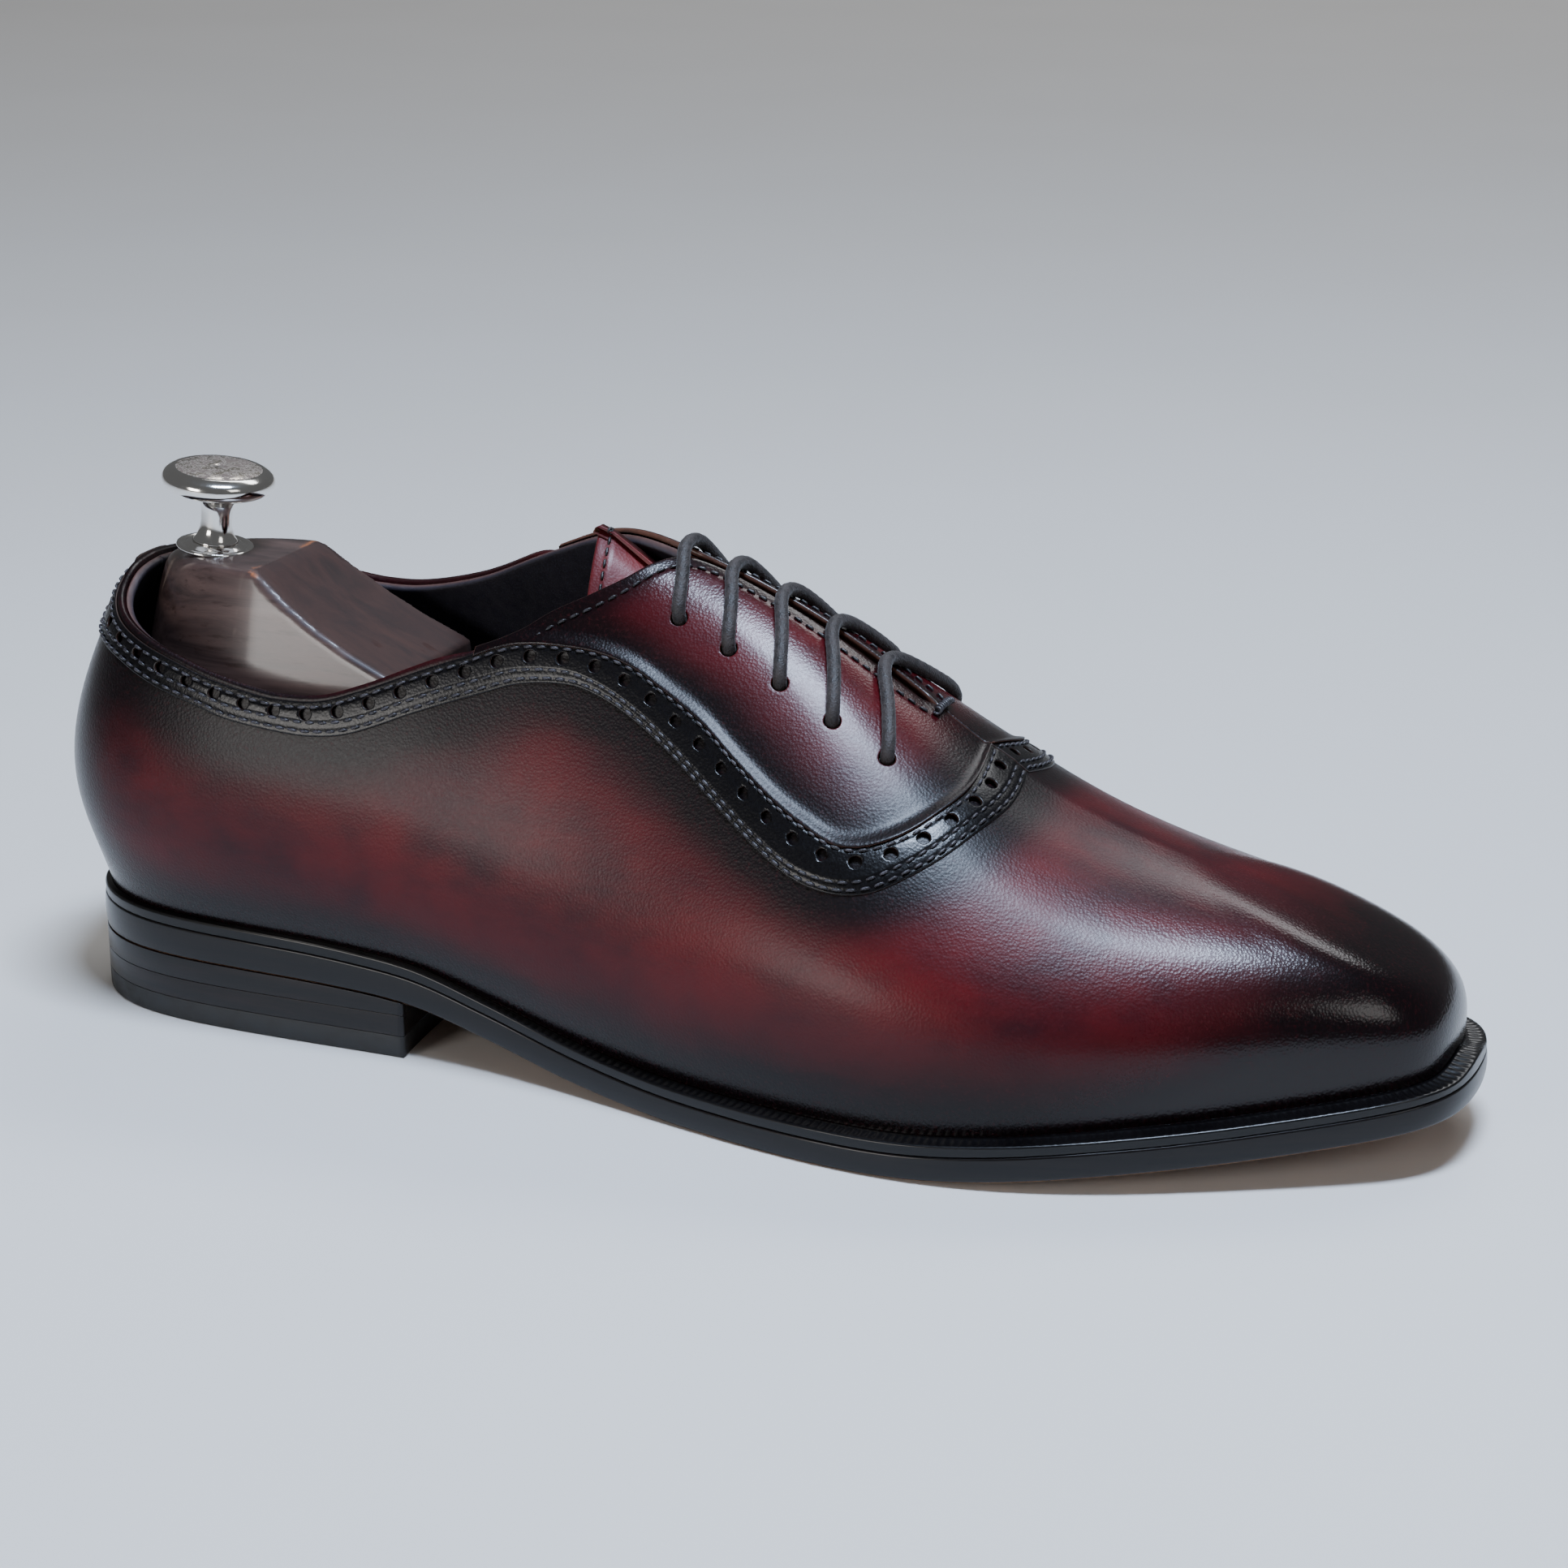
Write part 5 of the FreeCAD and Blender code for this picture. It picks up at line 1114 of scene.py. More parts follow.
def facing_place(side):
    lines = PATTERNS[side]
    strip_top, opening = lines["strip_top"], lines["opening"]
    first_low = strip_top.fraction_at(own_s(lines, FACING_START))
    first_high = opening.fraction_at(own_s(lines, FACING_START))
    throat, tip = opening.at(1.0), strip_top.at(1.0)

    def place(u, v):
        low = strip_top.at(first_low + (1 - first_low) * u) - (0.0, 0.0045)
        edge = opening.at(first_high + (1 - first_high) * np.minimum(u / RIDGE_SHARE, 1.0))
        share = np.clip((u - RIDGE_SHARE) / (1 - RIDGE_SHARE), 0, 1)
        ridge = np.stack([throat[0] + (tip[0] - throat[0]) * share, np.full(share.shape, 0.9985)], -1)
        high = np.where(share[..., None] > 0, ridge, edge)
        return between(low, high, v)

    return place


LACE_HOLE_RADIUS = 1.75
FACING_STITCH = 3.1


def facing_height(d):
    lip = 1.1 * fade(d.low, 2.6)
    crease = 0.16 * fade(d.high - FACING_STITCH, 0.55) * np.clip((0.8 - d.u) / 0.02, 0, 1)
    return lip - crease - rounding(d.low, 0.3) - rounding(d.high, 0.45)


def facing_depth(d):
    return -1.5 + 2.05 * fade(d.low, 1.9)


def make_facing(side):
    place = facing_place(side)
    groove = FACING_STITCH + np.array([-0.8, -0.4, 0.0, 0.4, 0.8])
    low_marks = np.concatenate([edge_marks(0.3), [0.8, 1.4, 2.0, 2.8, 3.8]])
    high_marks = np.concatenate([edge_marks(0.45), [1.0, 1.7], groove])
    obj = leather_sheet("facing_" + side, place, facing_height, facing_depth,
                        (edge_marks(0.3), edge_marks(0.3)), (low_marks, high_marks), (0.75, 0.9),
                        lace_holes(place, PATTERNS[side]), LACE_HOLE_RADIUS, block=3.2)
    paint(obj, burnish_facing, polish_facing)
    finish_piece(obj, BURGUNDY, ["facing_" + side])


STRIP_HEIGHT = 0.62
STRIP_LOW_ROWS = (1.05, 2.9)
STRIP_TOP_ROW = 1.25
HOLE_PITCH = 7.2
HOLE_RADIUS = 1.3
FIRST_HOLE = 4.0


def strip_place(side):
    lines = PATTERNS[side]
    return lambda u, v: between(lines["strip_low"].at(u), lines["strip_top"].at(u), v)


def strip_height(d):
    groove = sum(0.17 * fade(d.low - row, 0.42) for row in STRIP_LOW_ROWS)
    groove = groove + 0.17 * fade(d.high - STRIP_TOP_ROW, 0.42)
    puff = 0.10 * fade(d.low - d.high - 1.5, 4.0)
    return STRIP_HEIGHT + puff - groove - rounding(d.low, 0.32) - rounding(d.high, 0.32)


def just_above_last(d):
    return 0.03 + 0 * d.low


def make_strip(side):
    lines = PATTERNS[side]
    place = strip_place(side)
    length = (lines["strip_low"].length + lines["strip_top"].length) / 2
    span = length - 2 * FIRST_HOLE
    count = int(round(span / HOLE_PITCH))
    holes = [((FIRST_HOLE + i * span / count) / length, HOLE_ACROSS) for i in range(count + 1)]
    low_marks = np.concatenate([edge_marks(0.32), [0.7, 1.05, 1.4, 1.9, 2.5, 2.9, 3.3]])
    high_marks = np.concatenate([edge_marks(0.32), [0.85, 1.25, 1.65]])
    obj = leather_sheet("brogue_strip_" + side, place, strip_height, just_above_last,
                        (edge_marks(0.2), edge_marks(0.2)), (low_marks, high_marks), (0.6, 0.45),
                        holes, HOLE_RADIUS, block=1.9)
    paint(obj, 0.55, 0.3)
    finish_piece(obj, BLACK_CALF, ["brogue_strip_" + side])
    rows = [(row, True) for row in STRIP_LOW_ROWS] + [(STRIP_TOP_ROW, False)]
    threads = stitches("strip_stitches_" + side, [
        (strip_row(place, distance, from_low, 0.002, 0.998), STRIP_HEIGHT) for distance, from_low in rows])
    finish_piece(threads, THREAD)


def backstay_place(u, v):
    u, v = np.broadcast_arrays(u, v)
    return np.stack([-0.0115 + 0.023 * u, 0.055 + 0.678 * v], -1)


BACKSTAY_HEIGHT = 0.85


def backstay_height(d):
    groove = 0.15 * (fade(d.start - 1.2, 0.4) + fade(d.end - 1.2, 0.4))
    return BACKSTAY_HEIGHT - groove - sum(rounding(x, 0.35) for x in (d.low, d.high, d.start, d.end))


def make_backstay():
    marks = np.concatenate([edge_marks(0.35), [0.8, 1.2, 1.6]])
    obj = leather_sheet("backstay", backstay_place, backstay_height, just_above_last,
                        (marks, marks), (edge_marks(0.35), edge_marks(0.35)), (0.7, 0.8))
    paint(obj, 0.5, 0.4)
    finish_piece(obj, BLACK_CALF, ["backstay"])
    v = np.linspace(0.02, 0.985, 300)
    rows = [(backstay_place(edge, v), BACKSTAY_HEIGHT) for edge in (0.10, 0.90)]
    finish_piece(stitches("backstay_stitches", rows), THREAD)


def make_opening_stitches():
    """Rows of stitches along the lace edges of both facings."""
    rows = [(strip_row(facing_place(side), FACING_STITCH, False, 0.012, RIDGE_SHARE - 0.01), 0.0)
            for side in SIDES]
    finish_piece(stitches("facing_stitches", rows), DARK_THREAD)


LINING_START = 0.0003
LINING_END = 0.296


def lining_place(side):
    lines = PATTERNS[side]
    opening = lines["opening"]
    end = opening.fraction_at(own_s(lines, LINING_END))

    def place(u, v):
        high = opening.at(end * u) - (0.0, 0.002)
        foot_s = own_s(lines, LINING_START + (LINING_END - LINING_START) * u)
        foot = np.stack([foot_s, np.zeros_like(foot_s)], -1)
        high[..., 0] = np.where(u <= 0, own_s(lines, LINING_START), high[..., 0])
        return between(foot, high, v)

    return place


def lining_height(d):
    return -2.8 + 1.12 * fade(d.high, 5.0) - rounding(d.high, 0.4)


def lining_depth(d):
    return -3.6 + rounding(d.high, 0.6)


def make_lining(side):
    place = lining_place(side)
    high_marks = np.concatenate([edge_marks(0.6), [1.0, 1.6, 2.4, 3.4, 4.6, 6.0]])
    obj = leather_sheet("quarter_lining_" + side, place, lining_height, lining_depth,
                        ([0.0], [0.0]), ([0.0], high_marks), (1.4, 1.6),
                        lace_holes(place, PATTERNS[side]), LACE_HOLE_RADIUS, block=3.6)
    set_attribute(obj, "raw", fade(distances_to(OPENING_TREE, raw_points(obj)) - 1.6, 1.1))
    finish_piece(obj, LINING, ["quarter_lining_" + side])


def flat_place(x, y):
    """The (s, t) of the last under a plan position near its ridge."""
    x, y = np.broadcast_arrays(np.asarray(x, float), np.asarray(y, float))
    lateral = y <= 0
    low, high = np.full(x.shape, 0.10), np.full(x.shape, 0.45)
    for _ in range(34):
        middle = (low + high) / 2
        s = np.where(lateral, middle, 1 - middle)
        foot, ridge = last_points(s, 0.0), last_points(s, 1.0)
        t = 1 - y / foot[..., 1]
        here = foot[..., 0] + (ridge[..., 0] - foot[..., 0]) * t
        low = np.where(here < x, middle, low)
        high = np.where(here < x, high, middle)
    return np.stack([s, np.clip(t, 0, 1)], -1)


TONGUE_START = 119.0
TONGUE_LENGTH = 69.0
TONGUE_DEPTH = [(100, -4.3), (122, -4.6), (133, -7.6), (210, -7.6)]
TONGUE_STITCH = 2.4
TONGUE_STITCH_OFFSET = -4.5


def tongue_place(u, v):
    u, v = np.broadcast_arrays(u, v)
    half = 9.0 + 6.0 * np.sin(math.pi * np.minimum(u * 0.75 + 0.25, 1.0)) + 3.0 * (1 - u)
    half = np.where(u < 0.10, half * (0.86 + 1.4 * u), half)
    y = -half + 2 * half * v
    dip = 1.5 * (y / half) ** 2 * (1 - u) * np.maximum(0.0, 1 - 5 * u)
    return flat_place(TONGUE_START + TONGUE_LENGTH * u + dip, y)


def tongue_depth(d):
    return lerp_table(TONGUE_DEPTH, TONGUE_START + TONGUE_LENGTH * d.u)


def tongue_height(d):
    edges = (d.low, d.high, d.start)
    grooves = 0.18 * sum(fade(edge - TONGUE_STITCH, 0.5) for edge in edges)
    return tongue_depth(d) - sum(rounding(edge, 0.5) for edge in edges) - grooves


def make_tongue():
    marks = np.concatenate([edge_marks(0.5), [1.2, 2.0, 2.4, 2.8]])
    obj = leather_sheet("tongue", tongue_place, tongue_height, lambda d: tongue_depth(d) - LEATHER,
                        (marks, [0.0]), (marks, marks), (0.8, 0.8))
    paint(obj, 0.1, 0.0)
    finish_piece(obj, TONGUE_CALF, ["tongue"])
    rows = [strip_row(tongue_place, TONGUE_STITCH, low, 0.035, 0.45) for low in (True, False)]
    rows.append(tongue_place(0.036, np.linspace(0.09, 0.91, 200)))
    threads = stitches("tongue_stitches", [(row, TONGUE_STITCH_OFFSET) for row in rows])
    finish_piece(threads, DARK_THREAD)


# ---------------------------------------------------------------- bottom

def outline_points(s, margin):
    """Plan points beside the feather line, pushed outward by a margin."""
    here = last_points(s, 0.0)
    along = unit((last_points(s + 0.002, 0.0) - last_points(s - 0.002, 0.0)) * (1, 1, 0))
    return np.stack([here[..., 0] + along[..., 1] * margin, here[..., 1] - along[..., 0] * margin,
                     np.zeros(here.shape[:-1])], -1)


def sole_margin(s):
    return smooth_table(SOLE_MARGIN, last_points(s, 0.0)[..., 0])


def height_places(s, height):
    """Places t on the last where the surface is a height above the sole."""
    base = last_points(s, 0.0)[..., 2]
    low, high = np.zeros_like(s), np.full_like(s, 0.5)
    for _ in range(30):
        middle = (low + high) / 2
        below = last_points(s, middle)[..., 2] - base < height
        low, high = np.where(below, middle, low), np.where(below, high, middle)
    return low


WELT_HEIGHT = 2.6
# How far the welt stays inside the sole's edge, its gap to the leather, and the pitch of its wheel marks.
WELT_INSET = 0.12
WELT_GAP = 0.07
WHEEL_PITCH = 1.75


def make_welt(columns=2600):
    """Rand round the heel and welt round the forepart, marked by a wheel on top."""
    s = np.arange(columns) / columns
    foot = last_points(s, 0.0)
    outer = outline_points(s, sole_margin(s) - WELT_INSET)
    inner = outline_points(s, 0.14)
    wall = leather_points(s, height_places(s, WELT_HEIGHT), np.full(columns, WELT_GAP))
    side = unit(outline_points(s, 1.0) - outline_points(s, 0.0))
    reach = np.maximum(np.einsum("ij,ij->i", outer - wall, side), 0.45)
    inner_high = outer - side * reach[:, None]
    mark = 0.5 + 0.5 * np.cos(2 * math.pi * running_length(outer) / WHEEL_PITCH)
    marked = np.clip((foot[:, 0] - 95.0) / 15.0, 0, 1)
    top = foot[:, 2] + WELT_HEIGHT - ABOVE_SOLE
    outer_low = smooth_table(SOLE_TOP, outer[:, 0]) + 0.05
    rings = [raised(inner, smooth_table(SOLE_TOP, inner[:, 0]) + 0.05), raised(inner_high, top)]

    def ring(share, z):
        plan = inner_high + (outer - inner_high) * np.broadcast_to(share, columns)[:, None]
        rings.append(raised(plan, z))

    for share in (0.12, 0.24, 0.40, 0.55, 0.70, 0.82):
        depth = marked * 0.26 * mark * math.sin(math.pi * (share - 0.05) / 0.85) ** 0.7
        ring(share, top - 0.12 - 0.1 * share - depth)
    for inset, drop in corner_steps(0.5, (20, 45, 70, 90)):
        ring(1 - np.minimum(inset / reach, 0.16), top - 0.25 - drop)
    ring(0.97, (top + outer_low) / 2 - 0.1)
    ring(1.0, outer_low + 0.25)
    ring(0.97, outer_low)
    finish_piece(ring_mesh("welt", rings, joined=True), WELT_INK, ["welt"])


def make_outsole(columns=420):
    s = np.arange(columns) / columns
    edge = outline_points(s, sole_margin(s))
    spine = last_points(s, 1.0) * (1, 1, 0)
    inward = unit(spine - edge)
    rings = []

    def ring(plan, under, shift=0.0):
        """Ring at a share of the way from the sole's top to its underside, shifted up."""
        x = plan[:, 0]
        rings.append(raised(plan, smooth_table(SOLE_TOP, x) * (1 - under) + smooth_table(SOLE_UNDER, x) * under
                            + shift))

    for share in np.linspace(0, 0.9, 12):
        ring(spine + (edge - spine) * share, 0)
    for inset, drop in corner_steps(0.55, (0, 25, 50, 75, 90)):
        ring(edge + inward * inset, 0, -drop)
    for under, bulge in ((0.25, 0.12), (0.5, 0.2), (0.72, 0.12)):
        ring(edge - inward * bulge, under)
    for inset, drop in corner_steps(0.8, (90, 70, 45, 20, 0)):
        ring(edge + inward * inset, 1, drop)
    for share in np.linspace(0.9, 0, 12):
        ring(spine + (edge - spine) * share, 1)
    obj = ring_mesh("outsole", rings)
    weld(obj)
    obj.data.materials.append(SOLE_INK)
    obj.data.materials.append(SOLE_LEATHER)
    for polygon in obj.data.polygons:
        if polygon.normal.z < -0.75:
            polygon.material_index = 1
    finish_piece(obj, SOLE_INK, ["outsole"])


HEEL_BREAST = 87.0
BREAST_RADIUS = 260.0
BREAST_HOLLOW = 2.0


def breast_line(y):
    return HEEL_BREAST - BREAST_HOLLOW + BREAST_RADIUS - np.sqrt(BREAST_RADIUS ** 2 - y ** 2)


def heel_polygon():
    """Plan outline of the heel with its gently hollow breast."""
    s = np.linspace(-0.25, 0.25, 1600)
    edge = outline_points(s, sole_margin(s))
    back = edge[edge[:, 0] < breast_line(edge[:, 1])]
    back = back[np.linspace(0, len(back) - 1, 220).astype(int)]
    y = np.linspace(back[-1, 1], back[0, 1], 34)[1:-1]
    return np.concatenate([back, np.stack([breast_line(y), y, np.zeros(len(y))], -1)])


def heel_layer(name, low, high, bevel_low, bevel_high, material):
    """One lift of the heel, with softened edges; low and high give heights along x."""
    polygon = heel_polygon()
    along = unit(np.roll(polygon, -1, 0) - np.roll(polygon, 1, 0))
    side = np.stack([-along[:, 1], along[:, 0], np.zeros(len(along))], -1)
    side *= np.sign(np.einsum("ij,ij->i", side, polygon.mean(0) - polygon))[:, None]
    rings = []
    for inset, rise in corner_steps(bevel_low, (0, 30, 60, 90)):
        plan = polygon + side * inset
        rings.append(raised(plan, low(plan[:, 0]) + rise))
    for inset, drop in corner_steps(bevel_high, (90, 60, 30, 0)):
        plan = polygon + side * inset
        rings.append(raised(plan, high(plan[:, 0]) - drop))
    obj = ring_mesh(name, rings, flat_ends=True)
    sharpen_caps(obj)
    finish_piece(obj, material, [name])
    return obj


NAIL_PLACES = [(14, 0), (20, -17), (20, 17), (40, -24), (40, 23), (62, -24), (62, 22), (78, -10), (78, 10)]


def drill(obj, places, radius, low, high, sides=20):
    """Cut round upright holes."""
    angle = np.linspace(0, 2 * math.pi, sides, endpoint=False)
    circle = radius * np.stack([np.cos(angle), np.sin(angle)], -1)
    points, faces = [], []
    for place in places:
        rod, quads, ends = ring_faces([raised(circle + place, z) for z in (low, high)])
        start = len(points)
        points += rod.tolist()
        faces += [[start + k for k in face] for face in quads.tolist() + ends]
    cut_away(obj, mesh_object("cutter", points, faces))


# Tops of the two lower layers of the heel, the gap above each layer, and the softening of its edges.
TOP_LIFT_TOP, LOWER_LIFT_TOP = 4.8, 9.45
LAYER_GAP = 0.05
LIFT_BEVEL = 0.1
NAIL_HOLE_RADIUS = 0.95


def level(z):
    return lambda x: np.full(len(x), z)


def below_sole(x):
    return smooth_table(SOLE_UNDER, x) - LAYER_GAP


def make_heel():
    top_lift = heel_layer("top_lift", level(0.0), level(TOP_LIFT_TOP), 0.5, 0.12, RUBBER)
    drill(top_lift, NAIL_PLACES, NAIL_HOLE_RADIUS, -1.0, TOP_LIFT_TOP + 1.2)
    lifts = (("heel_lift_lower", TOP_LIFT_TOP, level(LOWER_LIFT_TOP)),
             ("heel_lift_upper", LOWER_LIFT_TOP, below_sole))
    for name, beneath, top in lifts:
        heel_layer(name, level(beneath + LAYER_GAP), top, LIFT_BEVEL, LIFT_BEVEL, LIFT_INK)


def make_sock(columns=260):
    """Sock lining on the insole, softly dished."""
    s = np.arange(columns) / columns
    edge = outline_points(s, -4.6)
    spine = last_points(s, 1.0) * (1, 1, 0)
    rings = []
    for lift, dish, order in ((6.05, 0.25, np.linspace(0, 1, 14)), (5.25, 0.0, np.linspace(1, 0, 5))):
        for share in order:
            plan = spine + (edge - spine) * share
            rings.append(raised(plan, smooth_table(SOLE_TOP, plan[:, 0]) + lift - dish * share ** 6))
    obj = ring_mesh("sock_lining", rings)
    weld(obj)
    finish_piece(obj, SOCK_LEATHER, ["sock_lining"])


# ---------------------------------------------------------------- lace

LACE_RADIUS = 1.4
LACE_STEP = 0.30
BRAID_PITCH = 4.2
# Offsets from the last of the lace at its holes, outside and inside, and where it lies on the facings.
LACE_OVER, LACE_UNDER = 2.1, -5.4
LACE_LIES = 1.5
RIDGE_T = 0.985
CREST_Y = 3.5


def lace_tail(s, t, towards_toe):
    """Hidden end of the lace, inside the last hole it comes through."""
    along = unit(last_points(s + 0.004, t) - last_points(s - 0.004, t))
    along = along * np.sign(along[0])
    return last_points(s, t) - last_normals(s, t) * 5.6 + along * 6.0 * towards_toe


def lace_route():
    """Control points of the lace: down one hole, along inside, up the next and across."""
    route = [lace_tail(*EYELETS[0], -1)]
    side_now, side_next = SIDES
    for s, t in EYELETS:
        ends = []
        for side in (side_now, side_next):
            place = own_s(PATTERNS[side], s)
            half_way = t + (RIDGE_T - t) * 0.55
            ends.append([leather_points(place, t, LACE_UNDER), leather_points(place, t, LACE_OVER),
                         leather_points(place, half_way, LACE_LIES)])
        ridge = last_points(s, RIDGE_T)
        sign = 1 if side_now == "lateral" else -1
        height = ridge[2] + LACE_LIES + 0.1
        crest = [np.array([ridge[0], y * sign, height]) for y in (-CREST_Y, CREST_Y)]
        route += ends[0] + crest + ends[1][::-1]
        side_now, side_next = side_next, side_now
    s, t = EYELETS[-1]
    route.append(lace_tail(own_s(PATTERNS[side_now], s), t, 1))
    return route


def spline_line(name, points, steps=14):
    """Smooth centreline through a NURBS spline that has these points as its control points."""
    curve = bpy.data.curves.new(name, "CURVE")
    curve.dimensions = "3D"
    curve.resolution_u = steps
    spline = curve.splines.new("NURBS")
    spline.points.add(len(points) - 1)
    for point, place in zip(spline.points, points):
        point.co = (*place, 1.0)
    spline.order_u = 3
    spline.use_endpoint_u = True
    holder = bpy.data.objects.new(name, curve)
    bpy.context.scene.collection.objects.link(holder)
    mesh = bpy.data.meshes.new_from_object(holder)
    line = np.array([v.co for v in mesh.vertices], float)
    bpy.data.objects.remove(holder)
    bpy.data.meshes.remove(mesh)
    return line


def braid(distance, angle):
    turn = 2 * math.pi * distance / BRAID_PITCH
    return 1 + 0.035 * (np.abs(np.sin(2 * angle + turn)) + np.abs(np.sin(2 * angle - turn))) - 0.045


def make_lace():
    line = spline_line("lace_route", lace_route())
    marks = running_length(line)
    line = at_marks(np.linspace(0, marks[-1], int(marks[-1] / LACE_STEP)), marks, line)
    obj = tube("lace", line, LACE_RADIUS, sides=20, twist=braid)
    finish_piece(obj, LACE, ["lace"])


def make_bar_tack(turns=9):
    """Close-wound thread bar that locks the bottom of the lacing."""
    x, _, z = last_points(0.3055, 0.997)
    place = np.linspace(-1, 1, 260)
    angle = place * math.pi * turns
    core = np.stack([x + 0.62 * np.cos(angle), place * 4.2,
                     z + 1.1 + 0.5 * np.sin(angle) - 0.5 * place ** 4], -1)
    finish_piece(tube("bar_tack", core, 0.30, sides=8), THREAD, ["bar_tack"])


# ---------------------------------------------------------------- shoe tree

TREE_Y = -1.5
BLOCK_BACK = [(30, 22), (37, 13), (48, 9.8), (62, 9.8), (78, 12.4), (92, 15.9), (94.9, 18.2), (95.6, 21.5)]
BLOCK_FRONT = [(30, 79), (76.2, 79), (80.6, 69), (85.4, 60), (90.6, 52), (95.6, 45.5)]
BLOCK_WIDTH = [(30, 17), (42, 22.4), (58, 23.0), (74, 20.7), (88, 17.3), (95.6, 14.9)]
BLOCK_LOW, BLOCK_TOP = 30.0, 95.6
BLOCK_EDGE = 1.6
WIDEST_X = 46.0
BLOCK_FRONT_X = 79.0
FRONT_STEPS = 12


def block_half_width(x, back, front, z):
    """Half width of the heel block along x at one height."""
    share = np.clip((x - back) / (WIDEST_X - back), 0, 1)
    half = lerp_table(BLOCK_WIDTH, z) * np.sqrt(np.clip(1 - (1 - share) ** 2.1, 0, 1)) * 0.985
    half = half * (1 - 0.10 * np.clip((x - WIDEST_X) / (BLOCK_FRONT_X - WIDEST_X), 0, 1))
    corner = np.clip((x - (front - 2.2)) / 2.2, 0, 1)
    return half - 1.2 * (1 - np.sqrt(np.clip(1 - corner ** 2, 0, 1)))


def block_ring(z):
    """Outline of the heel block at one height, and which of its points lie on its front."""
    back, front = float(smooth_table(BLOCK_BACK, z)), float(lerp_table(BLOCK_FRONT, z))
    x = back + (WIDEST_X - back) * (1 - np.cos(np.linspace(0, math.pi / 2, 40)))
    x = np.concatenate([x, np.linspace(WIDEST_X, BLOCK_FRONT_X, 20)[1:]])
    x = np.minimum(x, front - 0.01)
    side = np.stack([x, -block_half_width(x, back, front, z)], -1)
    y = side[-1, 1] * (1 - 2 * np.linspace(0, 1, FRONT_STEPS + 2)[1:-1])
    ring = np.concatenate([side, np.stack([np.full(FRONT_STEPS, front), y], -1), side[::-1] * (1, -1)])
    near = np.clip(x - (front - 1.0), 0, 1)
    drop = max(0.0, z - (BLOCK_TOP - BLOCK_EDGE)) / BLOCK_EDGE
    inset = BLOCK_EDGE * (1 - math.sqrt(max(0.0, 1 - drop ** 2)))
    centre = ring.mean(0)
    ring = centre + (ring - centre) * (1 - inset / 20.0)
    return raised(ring + (0.0, TREE_Y), z), np.concatenate([near, np.ones(FRONT_STEPS), near[::-1]])


def make_heel_block():
    bends = np.linspace(0.05, 1, 7) * math.pi / 2
    levels = np.concatenate([np.linspace(BLOCK_LOW, BLOCK_TOP - BLOCK_EDGE, 90),
                             BLOCK_TOP - BLOCK_EDGE * (1 - np.sin(bends))])
    levels = np.unique(np.round(levels, 4))
    rings, fronts = zip(*(block_ring(z) for z in levels))
    top = rings[-1]
    lid = [top.mean(0) + (top - top.mean(0)) * share for share in (0.9, 0.75, 0.55, 0.3, 0.02)]
    obj = ring_mesh("tree_heel_block", list(rings) + lid, flat_ends=True)
    on_front = np.concatenate(list(fronts) + [0 * fronts[-1]] * len(lid))
    x, y, z = raw_points(obj).T
    behind = lerp_table(BLOCK_FRONT, z) - x
    from_knob = np.hypot(x - 32, y - TREE_Y)
    top_edge = fade(BLOCK_TOP - z, 1.6) * np.clip((from_knob - 11) / 5, 0, 1)
    set_attribute(obj, "worn", 0.55 * np.clip(1 - behind / 3.0, 0, 1) * (1 - on_front) + 0.4 * top_edge)
    set_attribute(obj, "line", fade(behind - 0.3, 0.8) * (1 - 0.9 * on_front) * np.clip((94.0 - z) / 3.0, 0, 1))
    set_attribute(obj, "front", on_front)
    finish_piece(obj, TREE_DARK, ["tree_heel_block"], body="tree_heel")


def fore_value(column, x):
    return smooth_table([(row[0], row[column]) for row in FORE_SECTIONS], x)


FORE_BACK, FORE_TIP = 93.0, 270.0
# Slot for the hinge leaves: x from and to, half width, z from and to.
HINGE_SLOT = (62.0, 108.1, 3.65, 32.45, 43.55)


def saw_slot(obj, x_low, x_high, half_width, z_low, z_high):
    corners = [(-half_width, z_low), (half_width, z_low), (half_width, z_high), (-half_width, z_high)]
    rings = [[(x, y, z) for y, z in corners] for x in (x_low, x_high)]
    cut_away(obj, ring_mesh("cutter", rings, flat_ends=True, smooth=False))


def make_forepart():
    """Domed forepart of the tree, with the hinge slot sawn in its back."""
    x = np.concatenate([FORE_BACK + edge_marks(2.0, 5), np.linspace(96, 268.5, 110),
                        FORE_TIP - edge_marks(1.5, 4)[::-1]])
    round_off = np.minimum(rounding(x - FORE_BACK, 2.0), 2.0) + rounding(FORE_TIP - x, 1.5)
    angle = np.linspace(0, 2 * math.pi, 88, endpoint=False)
    centre, half, under, top = (fore_value(column, x) for column in (1, 2, 3, 4))
    under = under + smooth_table(SOLE_TOP, x)
    reach, rise = np.cos(angle), np.sin(angle)
    y = centre[:, None] + (half - round_off)[:, None] * np.sign(reach) * np.abs(reach) ** 0.8
    dome = (under + 5.4)[:, None] + (top - under - 5.4 - round_off)[:, None] * np.clip(rise, 0, 1) ** 0.8
    floor = (under + 0.6 + round_off)[:, None] + 4.8 * (1 - np.clip(-rise, 0, 1) ** 0.6)
    rings = np.stack([np.broadcast_to(x[:, None], y.shape), y, np.where(rise >= 0, dome, floor)], -1)
    obj = ring_mesh("tree_forepart", rings, flat_ends=True)
    saw_slot(obj, *HINGE_SLOT)
    sharpen_caps(obj)
    finish_piece(obj, TREE_RED, ["tree_forepart"])


KNOB_LEAN = math.radians(6.8)
KNOB_FOOT = np.array([27.0, TREE_Y, 95.7])
KNOB_AXIS = np.array([math.sin(KNOB_LEAN), 0.0, math.cos(KNOB_LEAN)])


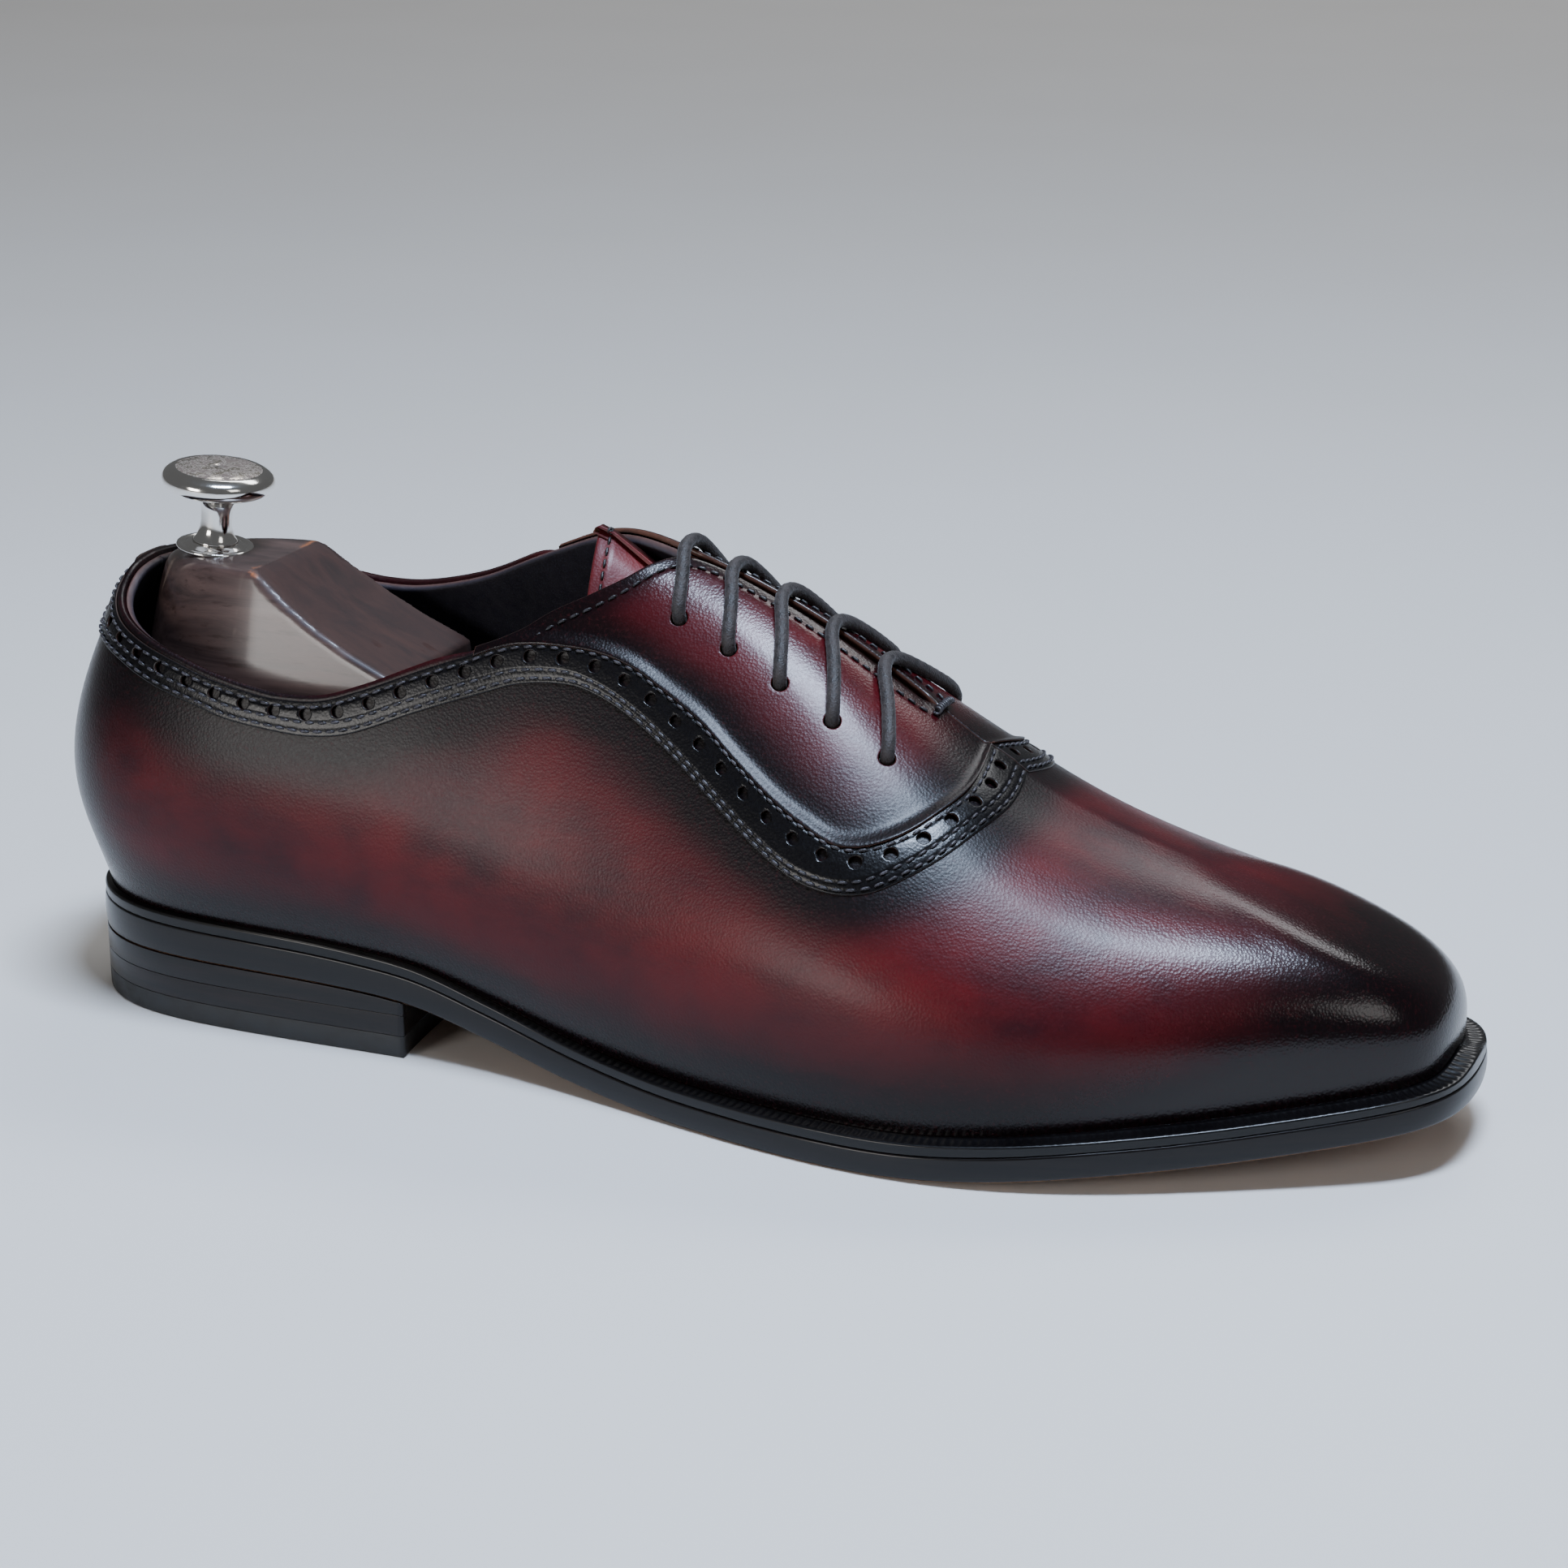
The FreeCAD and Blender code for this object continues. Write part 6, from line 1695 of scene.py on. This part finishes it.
def make_knob():
    shank = smooth_outline([(4.9, 1.6), (4.2, 2.6), (3.5, 4.4), (3.3, 7.0), (3.5, 9.4), (4.4, 11.2)], 24)
    under = smooth_outline([(4.4, 11.2), (8.0, 12.2), (10.8, 13.2), (11.8, 14.2), (12.0, 15.3),
                            (11.6, 16.5), (10.7, 17.3), (9.8, 17.75)], 34)
    top = [(9.4, 17.8), (9.2, 17.72), (8.9, 17.86), (6.0, 18.1), (2.0, 18.2), (0.02, 18.2)]
    outline = [(0.02, 9.0), (2.05, 9.0), (2.05, 1.6)] + shank.tolist() + under.tolist()[1:] + top
    knob = turned("tree_knob", outline, KNOB_FOOT, KNOB_AXIS)
    knob.data.materials.append(CHROME)
    knob.data.materials.append(KNOB_TOP)
    relative = raw_points(knob) - KNOB_FOOT
    height = relative @ KNOB_AXIS
    away = np.linalg.norm(relative - height[:, None] * KNOB_AXIS, axis=1)
    cap = (height > 17.5) & (away < 9.35)
    for polygon in knob.data.polygons:
        if all(cap[v] for v in polygon.vertices):
            polygon.material_index = 1
    finish_piece(knob, CHROME, ["tree_knob"], body="tree_heel")
    collar = [(2.05, 0.0), (8.0, 0.0), (8.25, 0.2), (8.3, 0.5), (8.15, 0.85), (7.8, 1.0), (7.2, 0.95),
              (6.9, 0.75), (6.5, 0.8), (6.1, 1.1), (5.4, 1.4), (4.6, 1.5), (2.05, 1.5)]
    piece = turned("tree_knob_collar", collar, KNOB_FOOT, KNOB_AXIS)
    finish_piece(piece, CHROME, ["tree_knob_collar"], body="tree_heel")


# ---------------------------------------------------------------- CAD nodes that keep their shape

def dress_cad_nodes():
    looks = {
        "vamp_lining": LINING, "toe_puff": STIFFENER, "heel_counter": STIFFENER,
        "eyelet_stay_lateral": STIFFENER, "eyelet_stay_medial": STIFFENER,
        "insole": INSOLE_LEATHER, "cork_filler": CORK, "heel_seat_filler": INSOLE_LEATHER,
        "shank": STEEL, "heel_nails": BRASS, "tree_hinge_plate_rear": STEEL,
        "tree_hinge_leaf_lateral": STEEL, "tree_hinge_leaf_medial": STEEL,
        "tree_hinge_pin": BRASS, "tree_knob_stud": STEEL,
    }
    for name, material in looks.items():
        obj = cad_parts[name]
        if not obj.material_slots:
            obj.data.materials.append(material)
        for slot in obj.material_slots:
            slot.material = material


# ---------------------------------------------------------------- camera, light and floor

CAMERA_TARGET = Vector((0.00905, -0.00065, 0.058))
CAMERA_AZIMUTH, CAMERA_ELEVATION = math.radians(22.0), math.radians(18.4)
CAMERA_DISTANCE = 0.687


def add_camera():
    azimuth, elevation = CAMERA_AZIMUTH, CAMERA_ELEVATION
    back = Vector((math.sin(azimuth) * math.cos(elevation), -math.cos(azimuth) * math.cos(elevation),
                   math.sin(elevation)))
    camera = bpy.data.objects.new("camera", bpy.data.cameras.new("camera"))
    camera.data.lens = 77.0
    camera.data.sensor_width = 36.0
    camera.location = CAMERA_TARGET + back * CAMERA_DISTANCE
    camera.rotation_euler = back.to_track_quat("Z", "Y").to_euler()
    bpy.context.scene.collection.objects.link(camera)
    bpy.context.scene.camera = camera


def add_soft_light(name, place, aim, width, height, power, tint):
    light = bpy.data.lights.new(name, "AREA")
    light.shape = "RECTANGLE"
    light.size = width
    light.size_y = height
    light.energy = power
    light.color = tint
    holder = bpy.data.objects.new(name, light)
    holder.location = place
    holder.rotation_euler = (Vector(place) - Vector(aim)).to_track_quat("Z", "Y").to_euler()
    bpy.context.scene.collection.objects.link(holder)


def add_studio():
    add_soft_light("overhead", (0.20, -0.16, 1.15), (0.05, 0.0, 0.05), 0.40, 0.20, 30.0, (0.62, 0.76, 1.0))
    add_soft_light("left_key", (-0.55, -1.35, 0.42), (0.0, 0.0, 0.05), 0.55, 0.4, 8.0, (1.0, 0.97, 0.94))
    add_soft_light("right_fill", (1.3, -0.6, 0.9), (0.05, 0.0, 0.04), 0.5, 0.5, 2.5, (1.0, 0.98, 0.96))
    add_soft_light("back_wash", (0.0, 2.6, 3.2), (0.0, 2.2, 0.0), 2.8, 1.0, 60.0, (0.97, 0.98, 1.0))
    world = bpy.data.worlds.new("studio")
    world.use_nodes = True
    background = world.node_tree.nodes["Background"]
    background.inputs["Color"].default_value = (0.9, 0.92, 0.95, 1)
    background.inputs["Strength"].default_value = 0.14
    bpy.context.scene.world = world
    floor = bpy.data.meshes.new("floor")
    floor.from_pydata([(-6, -4, 0), (6, -4, 0), (6, 10, 0), (-6, 10, 0)], [], [(0, 1, 2, 3)])
    holder = bpy.data.objects.new("floor", floor)
    floor.materials.append(floor_material())
    bpy.context.scene.collection.objects.link(holder)


# ---------------------------------------------------------------- build

add_camera()
make_lace()
make_upper_body()
for foot_side in SIDES:
    make_facing(foot_side)
    make_strip(foot_side)
    make_lining(foot_side)
make_backstay()
make_opening_stitches()
make_tongue()
make_bar_tack()
make_welt()
make_outsole()
make_heel()
make_sock()
make_heel_block()
make_forepart()
make_knob()
dress_cad_nodes()
add_studio()
